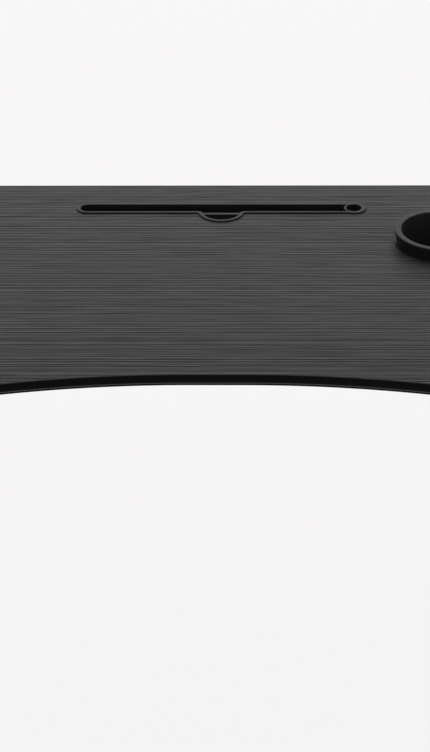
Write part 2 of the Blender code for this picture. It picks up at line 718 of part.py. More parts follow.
def bracket_mesh():
    """Moulded bracket about its hinge axis, with the stop wall towards +X."""
    body = lofted("bracket", [(plate_outline(PLATE_EDGE_CHAMFER), PLATE_BOTTOM),
                              (plate_outline(0), PLATE_BOTTOM + PLATE_EDGE_CHAMFER),
                              (plate_outline(0), PLATE_TOP)])
    wall = lay_on_side(prism("stop", [stop_points()], -CHEEK_OUTER, CHEEK_OUTER))
    join(body, wall)
    for side in (-1, 1):
        near, far = sorted((side * CHEEK_INNER, side * CHEEK_OUTER))
        cheek = lay_on_side(prism(f"cheek_{side}", [cheek_outline()], near, far))
        rib = prism(f"rib_{side}", [gusset_outline()], -GUSSET_THICKNESS / 2, GUSSET_THICKNESS / 2)
        stand = Matrix.Rotation(side * math.pi / 2, 4, "Z") @ Matrix.Rotation(math.pi / 2, 4, "X")
        rib.matrix_world = Matrix.Translation((-GUSSET_INWARD, 0, 0)) @ stand
        join(body, cheek, rib)
    bore = bore_radius(PIN_RADIUS + FIT_GAP, PIN_STEPS)
    cut(body, rod("pin_bore", bore, CHEEK_OUTER * 2 + CUT_OVERRUN, (0, 0, 0), "Y", PIN_STEPS))
    hole = bore_radius(SCREW_RADIUS + FIT_GAP, SCREW_STEPS)
    for i, (x, y) in enumerate(PLATE_SCREW_PLACES):
        centre = (x, y, (PLATE_TOP + PLATE_BOTTOM) / 2)
        cut(body, rod(f"screw_hole_{i}", hole, PLATE_THICKNESS + CUT_OVERRUN, centre, "Z", SCREW_STEPS))
    return take_mesh(body, "leg_bracket")


def headed_profile(radius, length, head_radius, head_height, peen_radius, peen_height):
    """Half section of a pin from its domed head down to its flattened end, about its middle."""
    top = length / 2
    return [(0, top + head_height), (head_radius * HEAD_CROWN_SHARE, top + head_height),
            (head_radius, top + head_height * HEAD_CROWN_SHARE), (head_radius, top),
            (radius, top), (radius, -top), (peen_radius, -top),
            (peen_radius * HEAD_CROWN_SHARE, -top - peen_height), (0, -top - peen_height)]


def pin_mesh():
    """Hinge pin along Y, its head towards +Y."""
    length = (CHEEK_OUTER + FIT_GAP) * 2
    profile = headed_profile(PIN_RADIUS, length, PIN_HEAD_RADIUS, PIN_HEAD_HEIGHT,
                             PIN_PEEN_RADIUS, PIN_PEEN_HEIGHT)
    return take_mesh(turn_to_y(turned("pin", profile, PIN_STEPS)), "hinge_pin")


def rivet_mesh():
    """Tube rivet along Y, its head towards +Y."""
    length = (TUBE_RADIUS + FIT_GAP) * 2
    profile = headed_profile(RIVET_RADIUS, length, RIVET_HEAD_RADIUS, RIVET_HEAD_HEIGHT,
                             RIVET_PEEN_RADIUS, RIVET_PEEN_HEIGHT)
    return take_mesh(turn_to_y(turned("rivet", profile, RIVET_STEPS)), "tube_rivet")


def screw_mesh(name, grip):
    """Pan-head screw that points up, its head's seat at zero and its shank past the grip."""
    length = grip + SCREW_BITE + FIT_GAP * 2
    profile = [(0, length), (SCREW_RADIUS, length - SCREW_TIP), (SCREW_RADIUS, 0),
               (SCREW_HEAD_RADIUS, 0), (SCREW_HEAD_RADIUS, -SCREW_HEAD_HEIGHT * HEAD_CROWN_SHARE),
               (SCREW_HEAD_RADIUS * HEAD_CROWN_SHARE, -SCREW_HEAD_HEIGHT), (0, -SCREW_HEAD_HEIGHT)]
    return take_mesh(turned(name, profile, SCREW_STEPS), name)


def make_brackets(collection):
    """Four brackets, each with its hinge pin and four screws, alike on both sides."""
    bracket = bracket_mesh()
    pin = pin_mesh()
    screw = screw_mesh("bracket_screw", PLATE_THICKNESS)
    seat = PIVOT_HEIGHT + PLATE_BOTTOM - FIT_GAP
    for side_name, side in SIDES.items():
        for end_name, end in ENDS.items():
            name = f"{side_name}_{end_name}"
            at = (side * PIVOT_X, end * UPRIGHT_Y, PIVOT_HEIGHT)
            turn = 0.0 if side > 0 else math.pi
            place(f"{name}_bracket", bracket, "moulded_plastic", collection, at, turn)
            head_turn = 0.0 if end > 0 else math.pi
            place(f"{name}_hinge_pin", pin, "zinc_steel", collection, at, head_turn)
            for i, (x, y) in enumerate(PLATE_SCREW_PLACES):
                spot = (side * (PIVOT_X + x), end * UPRIGHT_Y + y, seat)
                place(f"{name}_bracket_screw_{i + 1}", screw, "zinc_steel", collection, spot)


def clip_outline():
    """End view of a leg clip about the folded bar: a saddle with two flared jaws."""
    seat = TUBE_RADIUS + CLIP_CLEARANCE
    outer = seat + CLIP_JAW_WALL
    tip = seat + CLIP_JAW_FLARE
    return joined([(-outer, -CLIP_JAW_DROP), (-tip, -CLIP_JAW_DROP), (-seat, -CLIP_JAW_STRAIGHT)],
                  arc((0, 0), seat, 180, 0, CLIP_SEGMENTS),
                  [(seat, -CLIP_JAW_STRAIGHT), (tip, -CLIP_JAW_DROP), (outer, -CLIP_JAW_DROP),
                   (outer, PLATE_TOP), (-outer, PLATE_TOP)])


def clip_mesh():
    """Leg clip: the saddle and an ear at each end for its screw."""
    half = CLIP_LENGTH / 2
    body = lay_on_side(prism("clip", [clip_outline()], -half, half))
    outer = TUBE_RADIUS + CLIP_CLEARANCE + CLIP_JAW_WALL
    reach = half + CLIP_EAR_REACH
    hole = bore_radius(SCREW_RADIUS + FIT_GAP, SCREW_STEPS)
    ears = rounded_rectangle((-outer, -reach), (outer, reach), CLIP_EAR_ROUND, PLATE_CORNER_SEGMENTS)
    join(body, prism("ears", [ears], PLATE_TOP - CLIP_EAR_THICKNESS, PLATE_TOP))
    for i, y in enumerate((-CLIP_SCREW_Y, CLIP_SCREW_Y)):
        centre = (0, y, PLATE_TOP - CLIP_EAR_THICKNESS / 2)
        cut(body, rod(f"hole_{i}", hole, CLIP_EAR_THICKNESS + CUT_OVERRUN, centre, "Z", SCREW_STEPS))
    return take_mesh(body, "leg_clip")


def make_clips(collection):
    """Two leg clips, and the screws that hold them."""
    clip = clip_mesh()
    screw = screw_mesh("clip_screw", CLIP_EAR_THICKNESS)
    seat = PIVOT_HEIGHT + PLATE_TOP - CLIP_EAR_THICKNESS - FIT_GAP
    for side_name, side in SIDES.items():
        x = side * FOLDED_BAR_FROM_MIDDLE
        place(f"{side_name}_leg_clip", clip, "moulded_plastic", collection, (x, 0, PIVOT_HEIGHT))
        for end_name, end in ENDS.items():
            place(f"{side_name}_{end_name}_clip_screw", screw, "zinc_steel", collection,
                  (x, end * CLIP_SCREW_Y, seat))


def leg_path():
    """Centre line of a leg frame in its own YZ plane, from one tube end to the other."""
    bend_y = UPRIGHT_Y - TUBE_BEND_RADIUS
    bend_z = TUBE_BEND_RADIUS - LEG_LENGTH
    return ([(UPRIGHT_Y, -TUBE_START)]
            + arc((bend_y, bend_z), TUBE_BEND_RADIUS, 360, 270, TUBE_BEND_SEGMENTS)
            + arc((-bend_y, bend_z), TUBE_BEND_RADIUS, 270, 180, TUBE_BEND_SEGMENTS)
            + [(-UPRIGHT_Y, -TUBE_START)])


def leg_frame_mesh():
    """Bent tube with open ends and its rivet holes, pivoting about the local Y axis."""
    curve = bpy.data.curves.new("leg", "CURVE")
    curve.dimensions = "3D"
    curve.fill_mode = "FULL"
    curve.bevel_depth = TUBE_RADIUS
    curve.bevel_resolution = TUBE_BEVEL_RESOLUTION
    points = leg_path()
    spline = curve.splines.new("POLY")
    spline.points.add(len(points) - 1)
    for point, (y, z) in zip(spline.points, points):
        point.co = (0.0, y, z, 1.0)
    frame = settle(object_from("leg", curve))
    shell = frame.modifiers.new("wall", "SOLIDIFY")
    shell.thickness = TUBE_WALL
    shell.offset = -1
    shell.use_even_offset = True
    hole = bore_radius(RIVET_RADIUS + FIT_GAP, RIVET_STEPS)
    for end_name, end in ENDS.items():
        cut(frame, rod(f"rivet_hole_{end_name}", hole, TUBE_RADIUS * 2 + CUT_OVERRUN,
                       (0, end * UPRIGHT_Y, -RIVET_DROP), "Y", RIVET_STEPS))
    return take_mesh(frame, "leg_frame")


def knuckle_mesh():
    """Moulded hinge end: eye, neck, collar and the spigot that plugs into the tube."""
    collar_top = COLLAR_LENGTH / 2 - NECK_LENGTH
    collar_end = NECK_LENGTH + COLLAR_LENGTH
    tip = collar_end + SPIGOT_LENGTH
    body = turned("knuckle", [(0, collar_top), (TUBE_RADIUS, collar_top),
                              (TUBE_RADIUS, -collar_end), (SPIGOT_RADIUS, -collar_end),
                              (SPIGOT_RADIUS, SPIGOT_CHAMFER - tip),
                              (SPIGOT_RADIUS - SPIGOT_CHAMFER, -tip), (0, -tip)], TUBE_SIDES)
    section = rounded_rectangle((-NECK_WIDTH / 2, -EYE_WIDTH / 2), (NECK_WIDTH / 2, EYE_WIDTH / 2),
                                NECK_EDGE_ROUND, NECK_SEGMENTS)
    neck = prism("neck", [section], -NECK_LENGTH, 0)
    join(body, neck, rod("eye", EYE_RADIUS, EYE_WIDTH, (0, 0, 0), "Y", EYE_SIDES))
    bore = bore_radius(PIN_RADIUS + FIT_GAP, PIN_STEPS)
    hole = bore_radius(RIVET_RADIUS + FIT_GAP, RIVET_STEPS)
    cut(body, rod("pin_bore", bore, EYE_WIDTH + CUT_OVERRUN, (0, 0, 0), "Y", PIN_STEPS),
        rod("rivet_bore", hole, TUBE_RADIUS * 2, (0, 0, -RIVET_DROP), "Y", RIVET_STEPS))
    return take_mesh(body, "leg_knuckle")


def sleeve_mesh():
    """Foot sleeve about the local Y axis, with rounded ends."""
    bore = bore_radius(TUBE_RADIUS + FIT_GAP, SLEEVE_STEPS)
    half = SLEEVE_LENGTH / 2
    ends = list(zip(ROUND_SHARES, reversed(ROUND_SHARES)))
    top = [(SLEEVE_RADIUS - SLEEVE_END_ROUND * other, half - SLEEVE_END_ROUND * share)
           for share, other in ends]
    bottom = [(radius, -height) for radius, height in reversed(top)]
    profile = [(bore, half)] + top + bottom + [(bore, -half)]
    return take_mesh(turn_to_y(turned("sleeve", profile, SLEEVE_STEPS, closed=True)), "foot_sleeve")


def make_floor_cutter(cutters):
    """Block below the floor, which cuts the sleeves' flat soles."""
    reach = DESK_WIDTH
    floor = take_mesh(block("floor", (-reach, -DESK_DEPTH, -SLEEVE_RADIUS), (reach, DESK_DEPTH, 0)),
                      "floor")
    cutter = bpy.data.objects.new("floor", floor)
    cutters.objects.link(cutter)
    cutter.hide_render = True
    cutter.display_type = "WIRE"
    return cutter


def make_legs(collection, cutters):
    """Two leg frames on their hinge axes, each with knuckles, rivets and foot sleeves."""
    frame = leg_frame_mesh()
    knuckle = knuckle_mesh()
    rivet = rivet_mesh()
    sleeve = sleeve_mesh()
    floor = make_floor_cutter(cutters)
    for side_name, side in SIDES.items():
        axis = bpy.data.objects.new(f"{side_name}_leg_axis", None)
        collection.objects.link(axis)
        axis.location = (side * PIVOT_X, 0, PIVOT_HEIGHT)
        axis.rotation_euler = (0, -side * LEG_SPLAY, 0)
        place(f"{side_name}_leg_frame", frame, "powder_coat", collection, parent=axis)
        for end_name, end in ENDS.items():
            name = f"{side_name}_{end_name}"
            place(f"{name}_knuckle", knuckle, "moulded_plastic", collection,
                  (0, end * UPRIGHT_Y, 0), parent=axis)
            place(f"{name}_leg_rivet", rivet, "zinc_steel", collection,
                  (0, end * UPRIGHT_Y, -RIVET_DROP), 0.0 if end > 0 else math.pi, axis)
            at = (0, end * (UPRIGHT_Y - SLEEVE_FROM_UPRIGHT), -LEG_LENGTH)
            foot = place(f"{name}_foot_sleeve", sleeve, "soft_rubber", collection, at, parent=axis)
            cut(foot, floor)


def main():
    """Build the whole desk."""
    clear_scene()
    collection = new_collection(COLLECTION_NAME)
    cutters = new_collection(CUTTER_COLLECTION_NAME)
    make_board(collection, cutters)
    make_laminate(collection)
    make_edge_band(collection)
    make_slot_insert(collection)
    make_cup_holder(collection)
    make_brackets(collection)
    make_clips(collection)
    make_legs(collection, cutters)
    bpy.context.view_layer.update()


main()
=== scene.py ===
"""Looks of the foldable lap desk: finely shaped pieces, their finishes and a plain stage.

The packed model is the fixed frame. A piece that needs rounder shapes than its solid is
built here at the same place and replaces it. X runs to the user's right, Y away from the
user and Z up. Lengths are metres.
"""

import json
import math

import bmesh
import bpy
from bpy.props import FloatProperty, FloatVectorProperty, IntProperty, PointerProperty
from bpy.types import Operator, Panel, PropertyGroup
from mathutils import Matrix, Vector


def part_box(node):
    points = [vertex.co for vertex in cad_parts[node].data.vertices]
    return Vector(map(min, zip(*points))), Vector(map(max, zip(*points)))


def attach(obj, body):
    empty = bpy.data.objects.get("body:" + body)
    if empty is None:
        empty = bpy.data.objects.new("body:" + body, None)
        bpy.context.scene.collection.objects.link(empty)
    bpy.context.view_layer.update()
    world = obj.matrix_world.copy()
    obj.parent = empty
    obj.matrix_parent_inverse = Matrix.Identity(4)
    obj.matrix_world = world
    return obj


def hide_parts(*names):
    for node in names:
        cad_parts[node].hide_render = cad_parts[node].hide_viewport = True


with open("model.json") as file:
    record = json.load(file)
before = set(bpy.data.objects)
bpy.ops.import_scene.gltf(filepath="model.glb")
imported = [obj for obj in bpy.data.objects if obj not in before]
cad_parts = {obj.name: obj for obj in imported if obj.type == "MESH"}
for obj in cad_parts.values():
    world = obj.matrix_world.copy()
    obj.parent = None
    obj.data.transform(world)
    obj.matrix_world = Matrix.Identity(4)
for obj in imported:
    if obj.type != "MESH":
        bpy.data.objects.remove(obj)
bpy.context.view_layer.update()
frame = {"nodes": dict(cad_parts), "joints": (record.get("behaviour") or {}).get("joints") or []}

bl_info = {
    "name": "Foldable Lap Desk",
    "version": (1, 0, 0),
    "blender": (4, 5, 0),
    "location": "3D View > Sidebar > Lap Desk",
    "description": "Dresses the frame of a foldable lap desk and sets its stage",
    "category": "Object",
}

MM = 0.001
QUARTER_TURN = math.pi / 2

# The clearance that the frame leaves between two pieces
GAP = 0.3 * MM
# Points that lie closer than this become one
WELD_DISTANCE = 0.002 * MM
# How far a cutting shape reaches past what it cuts
OVERRUN = 2 * MM
# Faces that meet at a smaller angle are shaded as one
SMOOTH_BELOW = math.radians(32)

# The ends of a leg, with the way along Y that each lies
ENDS = {"front": -1, "rear": 1}
SIDES = ("left", "right")
CORNERS = [(side, end) for side in SIDES for end in ENDS]

# How finely round shapes are stepped
CORNER_STEPS = 20
HOLLOW_STEPS = 56
END_STEPS = 36
NOTCH_STEPS = 56
FILLET_STEPS = 10
PEN_STEPS = 64
ROUND_STEPS = 6
BEVEL_STEPS = 2
CUP_STEPS = 144
SMALL_STEPS = 32
EYE_STEPS = 64
TUBE_SIDES = 48
ROUND_ANGLES = [QUARTER_TURN * i / ROUND_STEPS for i in range(ROUND_STEPS + 1)]

# Where the insert's barbs stand, as shares of half its length
INSERT_BARB_SHARES = (-0.72, -0.36, 0.36, 0.72)
CUP_BARBS = 3
BRACKET_SCREWS = 4
# The share of a head's radius that stays flat
PIN_FLAT = 0.45
SCREW_FLAT = 0.5
# The shares of a recess arm's length and width that are left at its bottom
RECESS_FLOOR = (0.45, 0.75)
# A face looks up where its normal has more than this along Z
LOOKS_UP = 0.5

# Streaks of the laminate's grain, with how closely they lie along and across it. A streak is 0 at
# its low level and 1 at its high one.
GRAIN_STREAKS = {
    "grooves": {"Along": 0.35, "Across": 600.0, "Detail": 0.0, "Low": 0.45, "High": 0.57},
    # Painted highlight: this streak, moved aside and turned round, is the pale line beside each groove
    "ridge_highlights": {"Along": 0.35, "Across": 600.0, "Detail": 0.0, "Low": 0.57, "High": 0.45},
    "short": {"Along": 18.0, "Across": 540.0, "Detail": 0.0, "Low": 0.41, "High": 0.61},
    "bands": {"Along": 0.5, "Across": 42.0, "Detail": 2.0, "Low": 0.3, "High": 0.7},
    # This streak, moved aside, also gives each pore a painted highlight at its edge
    "pores": {"Along": 0.7, "Across": 210.0, "Detail": 0.0, "Low": 0.68, "High": 0.78},
    "fine": {"Along": 30.0, "Across": 1900.0, "Detail": 1.0, "Low": 0.44, "High": 0.60},
}
# The levels of the mixed streaks that get the darkest and the lightest tone
GRAIN_LEVELS = (0.13, 0.87)

# Plain dark finishes, each with the setting that holds its colour
PLAIN_FINISHES = {
    "edge_moulding": {"colour": "edge", "roughness": 0.36, "specular": 0.035, "scale": 900.0,
                      "depth": 0.01 * MM, "dust": 0.0},
    "satin_moulding": {"colour": "moulding", "roughness": 0.30, "specular": 0.029, "scale": 1400.0,
                       "depth": 0.006 * MM, "dust": 0.004},
    # Painted light: the inside of the cup well gets a paler copy of the moulding, standing in for light that
    # falls into the well
    "well_lining": {"colour": "lit_well_colour", "roughness": 0.45, "specular": 0.06, "scale": 1800.0,
                    "depth": 0.02 * MM, "dust": 0.004},
    "bracket_moulding": {"colour": "bracket", "roughness": 0.48, "specular": 0.4, "scale": 1300.0,
                         "depth": 0.11 * MM, "dust": 0.004},
    "powder_coat": {"colour": "coat", "roughness": 0.44, "specular": 0.5, "scale": 1100.0,
                    "depth": 0.10 * MM, "dust": 0.004},
    "foot_rubber": {"colour": "rubber", "roughness": 0.75, "specular": 0.35, "scale": 1700.0,
                    "depth": 0.14 * MM, "dust": 0.004},
}
# How far the roughness of a plain finish varies to either side
ROUGHNESS_SPREAD = 0.06
DUST = (0.5, 0.5, 0.5, 1.0)
WHITE = (1.0, 1.0, 1.0, 1.0)


def length(name, description, default):
    """A length that a user may change."""
    return FloatProperty(name=name, description=description, default=default, min=0.0,
                         unit="LENGTH", precision=4)


def share(name, description, default):
    """A share between none and all."""
    return FloatProperty(name=name, description=description, default=default, min=0.0, max=1.0,
                         subtype="FACTOR")


def colour(name, description, default):
    """A colour that a user may change."""
    return FloatVectorProperty(name=name, description=description, default=default, size=3,
                               min=0.0, max=1.0, subtype="COLOR")


class DeskTopSizes(PropertyGroup):
    """Outline of the desktop and section of its edge moulding."""

    corner_radius: length("Corner Radius", "Radius of the four corners", 30 * MM)
    flat_half: length("Flat Half", "Half of the straight middle of the front edge", 22 * MM)
    hollow_radius: length("Hollow Radius", "Radius of the hollow front edge", 760 * MM)
    shoulder_radius: length("Shoulder Radius", "Radius beside the hollow", 90 * MM)
    band: length("Band", "Thickness of the edge moulding", 2 * MM)
    seam: length("Seam", "Seam between the moulding and the board", 0.03 * MM)
    top_round: length("Top Round", "Rounding of the moulding's upper edge", 0.6 * MM)
    crown: length("Crown", "How far the moulding's face is domed", 0.3 * MM)
    facet: length("Facet", "Height of the slanted facet below the domed face", 1.2 * MM)
    lip_height: length("Lip Height", "Height of the moulding's lower lip", 1.7 * MM)
    lip_inset: length("Lip Inset", "How far the lower lip is set back", 0.9 * MM)
    lip_round: length("Lip Round", "Rounding of the lower lip", 0.3 * MM)


class SlotInsertSizes(PropertyGroup):
    """Moulded slot with its cable notch and pen hole."""

    slot_width: length("Slot Width", "Clear width of the tablet slot", 14 * MM)
    rim_width: length("Rim Width", "Width of the raised rim", 3.9 * MM)
    rim_round: length("Rim Round", "Rounding of the rim's outer edge", 1.4 * MM)
    overhang: length("Overhang", "How far the rim reaches over the board", 2 * MM)
    floor: length("Floor", "Thickness of the trough's floor", 1.8 * MM)
    lip: length("Lip", "Rounding of the slot's mouth", 0.9 * MM)
    draft: length("Draft", "How much the slot narrows downwards", 0.4 * MM)
    pen_radius: length("Pen Hole Radius", "Radius of the pen hole", 7.05 * MM)
    ring_bulge: length("Ring Bulge", "How far the pen ring stands out of the rim", 1.2 * MM)
    divider: length("Divider", "Wall between the slot and the pen hole", 2.5 * MM)
    notch_forward: length("Notch Forward", "From the slot to the middle of the notch", 7.5 * MM)
    notch_radius: length("Notch Radius", "Outer radius of the half-moon notch", 22 * MM)
    notch_rim: length("Notch Rim", "Width of the rim round the notch", 4.4 * MM)
    fillet: length("Fillet", "Radius where the notch leaves the rim", 3 * MM)
    bar_width: length("Bar Width", "Width of the bar between slot and notch", 3.5 * MM)
    bar_drop: length("Bar Drop", "How far the bar lies below the rim", 2 * MM)


class CupHolderSizes(PropertyGroup):
    """Cup well with its raised ring."""

    inner_radius: length("Inner Radius", "Radius of the well at its mouth", 36.4 * MM)
    wall: length("Wall", "Thickness of the well's wall and floor", 2 * MM)
    taper: length("Taper", "How much the well narrows downwards", 3.9 * MM)
    foot_round: length("Foot Round", "Rounding between wall and floor", 4 * MM)
    skirt: length("Skirt", "From the ring's edge to the inside of its skirt", 3.3 * MM)
    skirt_draft: length("Skirt Draft", "How much the skirt narrows downwards", 1.8 * MM)
    flange: length("Flange", "Height of the flange round the skirt's foot", 0.4 * MM)
    ring_round: length("Ring Round", "Rounding of the ring's outer edge", 0.9 * MM)
    lip_round: length("Lip Round", "Rounding of the ring's inner edge", 0.8 * MM)


class BarbSizes(PropertyGroup):
    """Barbs that catch under the board."""

    reach: length("Reach", "How far a barb stands out", 1.2 * MM)
    height: length("Height", "Height of a barb", 2.2 * MM)
    width: length("Width", "Width of a barb", 8 * MM)
    root: length("Root", "Depth of a barb's root in the wall", 0.8 * MM)


class BracketSizes(PropertyGroup):
    """Brackets and clips under the desktop."""

    plate: length("Plate", "Thickness of the bracket's plate", 4 * MM)
    plate_inward: length("Plate Inward", "Reach of the plate towards the middle", 34 * MM)
    plate_outward: length("Plate Outward", "Reach of the plate towards the side", 22 * MM)
    plate_half: length("Plate Half Width", "Half the width of the plate", 24 * MM)
    plate_corner: length("Plate Corner", "Radius of the plate's corners", 6 * MM)
    cheek: length("Cheek", "Thickness of a cheek", 5 * MM)
    cheek_radius: length("Cheek Radius", "Radius of a cheek round the pin", 12 * MM)
    cheek_root: length("Cheek Root", "Reach of a cheek's root towards the middle", 19 * MM)
    cheek_gap: length("Cheek Gap", "Clearance between a cheek and the knuckle", 0.4 * MM)
    stop_length: length("Stop Length", "How far the stop reaches below the pin", 17 * MM)
    stop_face: length("Stop Face", "Height of the face that the leg meets", 4 * MM)
    stop_wall: length("Stop Wall", "Thickness of the stop's wall", 3.7 * MM)
    gusset: length("Gusset", "Thickness of a gusset", 2 * MM)
    gusset_reach: length("Gusset Reach", "Reach of a gusset along the plate", 7.5 * MM)
    gusset_drop: length("Gusset Drop", "Height of a gusset", 13.5 * MM)
    gusset_inward: length("Gusset Inward", "From the pin to the gussets", 10 * MM)
    edge_round: length("Edge Round", "Rounding of the moulded edges", 0.5 * MM)
    clip_clearance: length("Clip Clearance", "Clearance of the folded bar", 0.5 * MM)
    jaw_wall: length("Jaw Wall", "Thickness of a clip's jaw", 2.3 * MM)
    jaw_drop: length("Jaw Drop", "How far the jaws reach down", 3.5 * MM)
    jaw_flare: length("Jaw Flare", "How far the jaws open at their tips", 0.8 * MM)
    jaw_straight: length("Jaw Straight", "Where the jaws begin to open", 1.6 * MM)
    clip_length: length("Clip Length", "Length of a clip's saddle", 16 * MM)
    ear: length("Ear", "Thickness of a clip's ears", 2.6 * MM)
    ear_reach: length("Ear Reach", "Reach of an ear", 12 * MM)
    ear_corner: length("Ear Corner", "Radius of an ear's corners", 3 * MM)


class LegSizes(PropertyGroup):
    """Leg tubes with their knuckles and sleeves."""

    tube_radius: length("Tube Radius", "Radius of the leg tube", 8 * MM)
    tube_wall: length("Tube Wall", "Wall of the leg tube", 1.2 * MM)
    bend_radius: length("Bend Radius", "Radius of the tube's bends", 35 * MM)
    eye_radius: length("Eye Radius", "Radius of the knuckle's eye", 9 * MM)
    eye_width: length("Eye Width", "Width of the knuckle's eye", 14 * MM)
    neck_width: length("Neck Width", "Width of the knuckle's neck", 16 * MM)
    neck_length: length("Neck Length", "From the pin to the collar", 20 * MM)
    neck_round: length("Neck Round", "Rounding of the neck's edges", 1.5 * MM)
    collar: length("Collar", "Length of the collar above the tube", 4 * MM)
    spigot: length("Spigot", "Length of the spigot inside the tube", 24 * MM)
    rivet_from_collar: length("Rivet Place", "From the collar to the rivet", 12 * MM)
    sleeve_length: length("Sleeve Length", "Length of a foot sleeve", 50 * MM)
    sleeve_round: length("Sleeve Round", "Rounding of a sleeve's ends", 1.4 * MM)


class FastenerSizes(PropertyGroup):
    """Pins, rivets and screws."""

    pin_radius: length("Pin Radius", "Radius of a hinge pin", 3 * MM)
    pin_head_radius: length("Pin Head Radius", "Radius of a pin's head", 5 * MM)
    pin_head_height: length("Pin Head Height", "Height of a pin's head", 1.8 * MM)
    pin_peen_radius: length("Pin Peen Radius", "Radius of a pin's formed end", 4.1 * MM)
    pin_peen_height: length("Pin Peen Height", "Height of a pin's formed end", 1.3 * MM)
    rivet_radius: length("Rivet Radius", "Radius of a rivet", 1.5 * MM)
    rivet_head_radius: length("Rivet Head Radius", "Radius of a rivet's head", 3 * MM)
    rivet_head_height: length("Rivet Head Height", "Height of a rivet's head", 1.3 * MM)
    rivet_peen_radius: length("Rivet Peen Radius", "Radius of its formed end", 2.4 * MM)
    rivet_peen_height: length("Rivet Peen Height", "Height of its formed end", 0.9 * MM)
    screw_radius: length("Screw Radius", "Radius of a screw's shank", 1.7 * MM)
    screw_head_radius: length("Screw Head Radius", "Radius of a screw's head", 3.6 * MM)
    screw_head_height: length("Screw Head Height", "Height of a screw's head", 2 * MM)
    screw_tip: length("Screw Tip", "Length of a screw's tip", 1.2 * MM)
    recess_width: length("Recess Width", "Width of the cross recess's arms", 0.9 * MM)
    recess_span: length("Recess Span", "Span of the cross recess", 3.8 * MM)
    recess_depth: length("Recess Depth", "Depth of the cross recess", 1.1 * MM)
    seed: IntProperty(name="Seed", description="Seed of the screws' random turns", default=4)


class GrainSettings(PropertyGroup):
    """Wood grain of the laminate, with painted highlights beside its grooves and pores."""

    dark: colour("Dark", "Darker tone of the grain", (0.003, 0.003, 0.0035))
    light: colour("Light", "Lighter tone of the grain", (0.0685, 0.0685, 0.0730))
    pore: colour("Pore", "Tone of the pores", (0.004, 0.004, 0.0045))
    # Painted highlight at the pores' edges
    pore_edge_highlight: colour("Pore Edge", "Tone of the pores' pale edges", (0.075, 0.075, 0.080))
    beside: length("Beside", "From a groove or pore to the pale line beside it", 1.9 * MM)
    emboss: length("Emboss", "Depth of the embossed grain", 0.12 * MM)
    # Painted highlight: the pale line beside each groove stands in for light on the embossed grain
    ridge_highlights: share("Ridges", "Weight of the pale lines beside the grooves", 0.36)
    short: share("Short Lines", "Weight of the short lines", 0.22)
    bands: share("Bands", "Weight of the broad bands", 0.12)
    fine: share("Fine Grain", "Weight of the finest grain", 0.16)
    pores: share("Pores", "Strength of the pores and their edges", 0.7)
    gloss: share("Gloss", "Specular level of the laminate", 0.035)
    dark_roughness: share("Dark Roughness", "Roughness of the darkest tone", 0.56)
    light_roughness: share("Light Roughness", "Roughness of the lightest tone", 0.42)


class DeskFinishes(PropertyGroup):
    """Colours of the desk's other surfaces."""

    board: colour("Board", "Fibreboard under the laminate", (0.105, 0.080, 0.060))
    edge: colour("Edge", "Edge moulding", (0.0046, 0.0046, 0.0050))
    # Painted highlight: the pale band along the moulding's lower edge stands in for light caught there
    arris_highlight: colour("Arris", "Trimmed lower arris of the edge moulding", (0.10, 0.10, 0.103))
    moulding: colour("Moulding", "Slot insert and cup holder", (0.018, 0.018, 0.0197))
    # Painted light inside the cup well, paler than the moulding outside
    lit_well_colour: colour("Lining", "Inside of the cup well", (0.031, 0.031, 0.0335))
    bracket: colour("Bracket", "Brackets, clips and knuckles", (0.013, 0.013, 0.014))
    coat: colour("Powder Coat", "Leg tubes", (0.015, 0.015, 0.016))
    zinc: colour("Zinc", "Pins, rivets and screws", (0.56, 0.56, 0.57))
    rubber: colour("Rubber", "Foot sleeves", (0.018, 0.018, 0.019))


class StageSettings(PropertyGroup):
    """Floor, light and camera."""

    floor: colour("Floor", "Colour of the floor and the background", (0.934, 0.917, 0.921))
    floor_half: length("Floor Half", "Half the side of the floor", 12.0)
    shade_kept: share("Shade Kept", "How much of the shade between the legs the camera sees", 0.03)
    sole_shade: share("Sole Shade", "How much of the shade by the soles the camera sees", 0.20)
    sole_reach: length("Sole Reach", "How far the shade by the soles reaches", 38 * MM)
    ambient: FloatProperty(name="Ambient", description="Light from all round", default=0.38)
    lamp_power: FloatProperty(name="Lamp Power", description="Power of the soft lamp", default=61.0,
                              unit="POWER")
    lamp_width: length("Lamp Width", "Width of the soft lamp", 3.2)
    lamp_height: length("Lamp Height", "Height of the soft lamp", 2.4)
    lamp_back: length("Lamp Back", "Distance of the lamp behind the middle", 1.85)
    lamp_rise: length("Lamp Rise", "Height of the lamp above the floor", 1.68)
    camera_rise: length("Camera Rise", "Height of the camera above the desktop", 0.7518)
    camera_back: length("Camera Back", "Distance of the camera before the middle", 1.4285)
    camera_side: FloatProperty(name="Camera Side", description="Place of the camera along X",
                               default=22.6 * MM, unit="LENGTH", precision=4)
    pitch: FloatProperty(name="Pitch", description="Angle of the view below the horizon",
                         default=math.radians(30.73), subtype="ANGLE")
    heading: FloatProperty(name="Heading", description="Turn of the view to the left",
                           default=math.radians(1.096), subtype="ANGLE")
    roll: FloatProperty(name="Roll", description="Turn of the camera about its own axis",
                        default=math.radians(-0.511), subtype="ANGLE")
    lens: FloatProperty(name="Lens", description="Focal length in millimetres", default=87.62)


GROUPS = {
    "lap_desk_top": DeskTopSizes,
    "lap_desk_insert": SlotInsertSizes,
    "lap_desk_cup": CupHolderSizes,
    "lap_desk_barbs": BarbSizes,
    "lap_desk_brackets": BracketSizes,
    "lap_desk_legs": LegSizes,
    "lap_desk_fasteners": FastenerSizes,
    "lap_desk_grain": GrainSettings,
    "lap_desk_finishes": DeskFinishes,
    "lap_desk_stage": StageSettings,
}


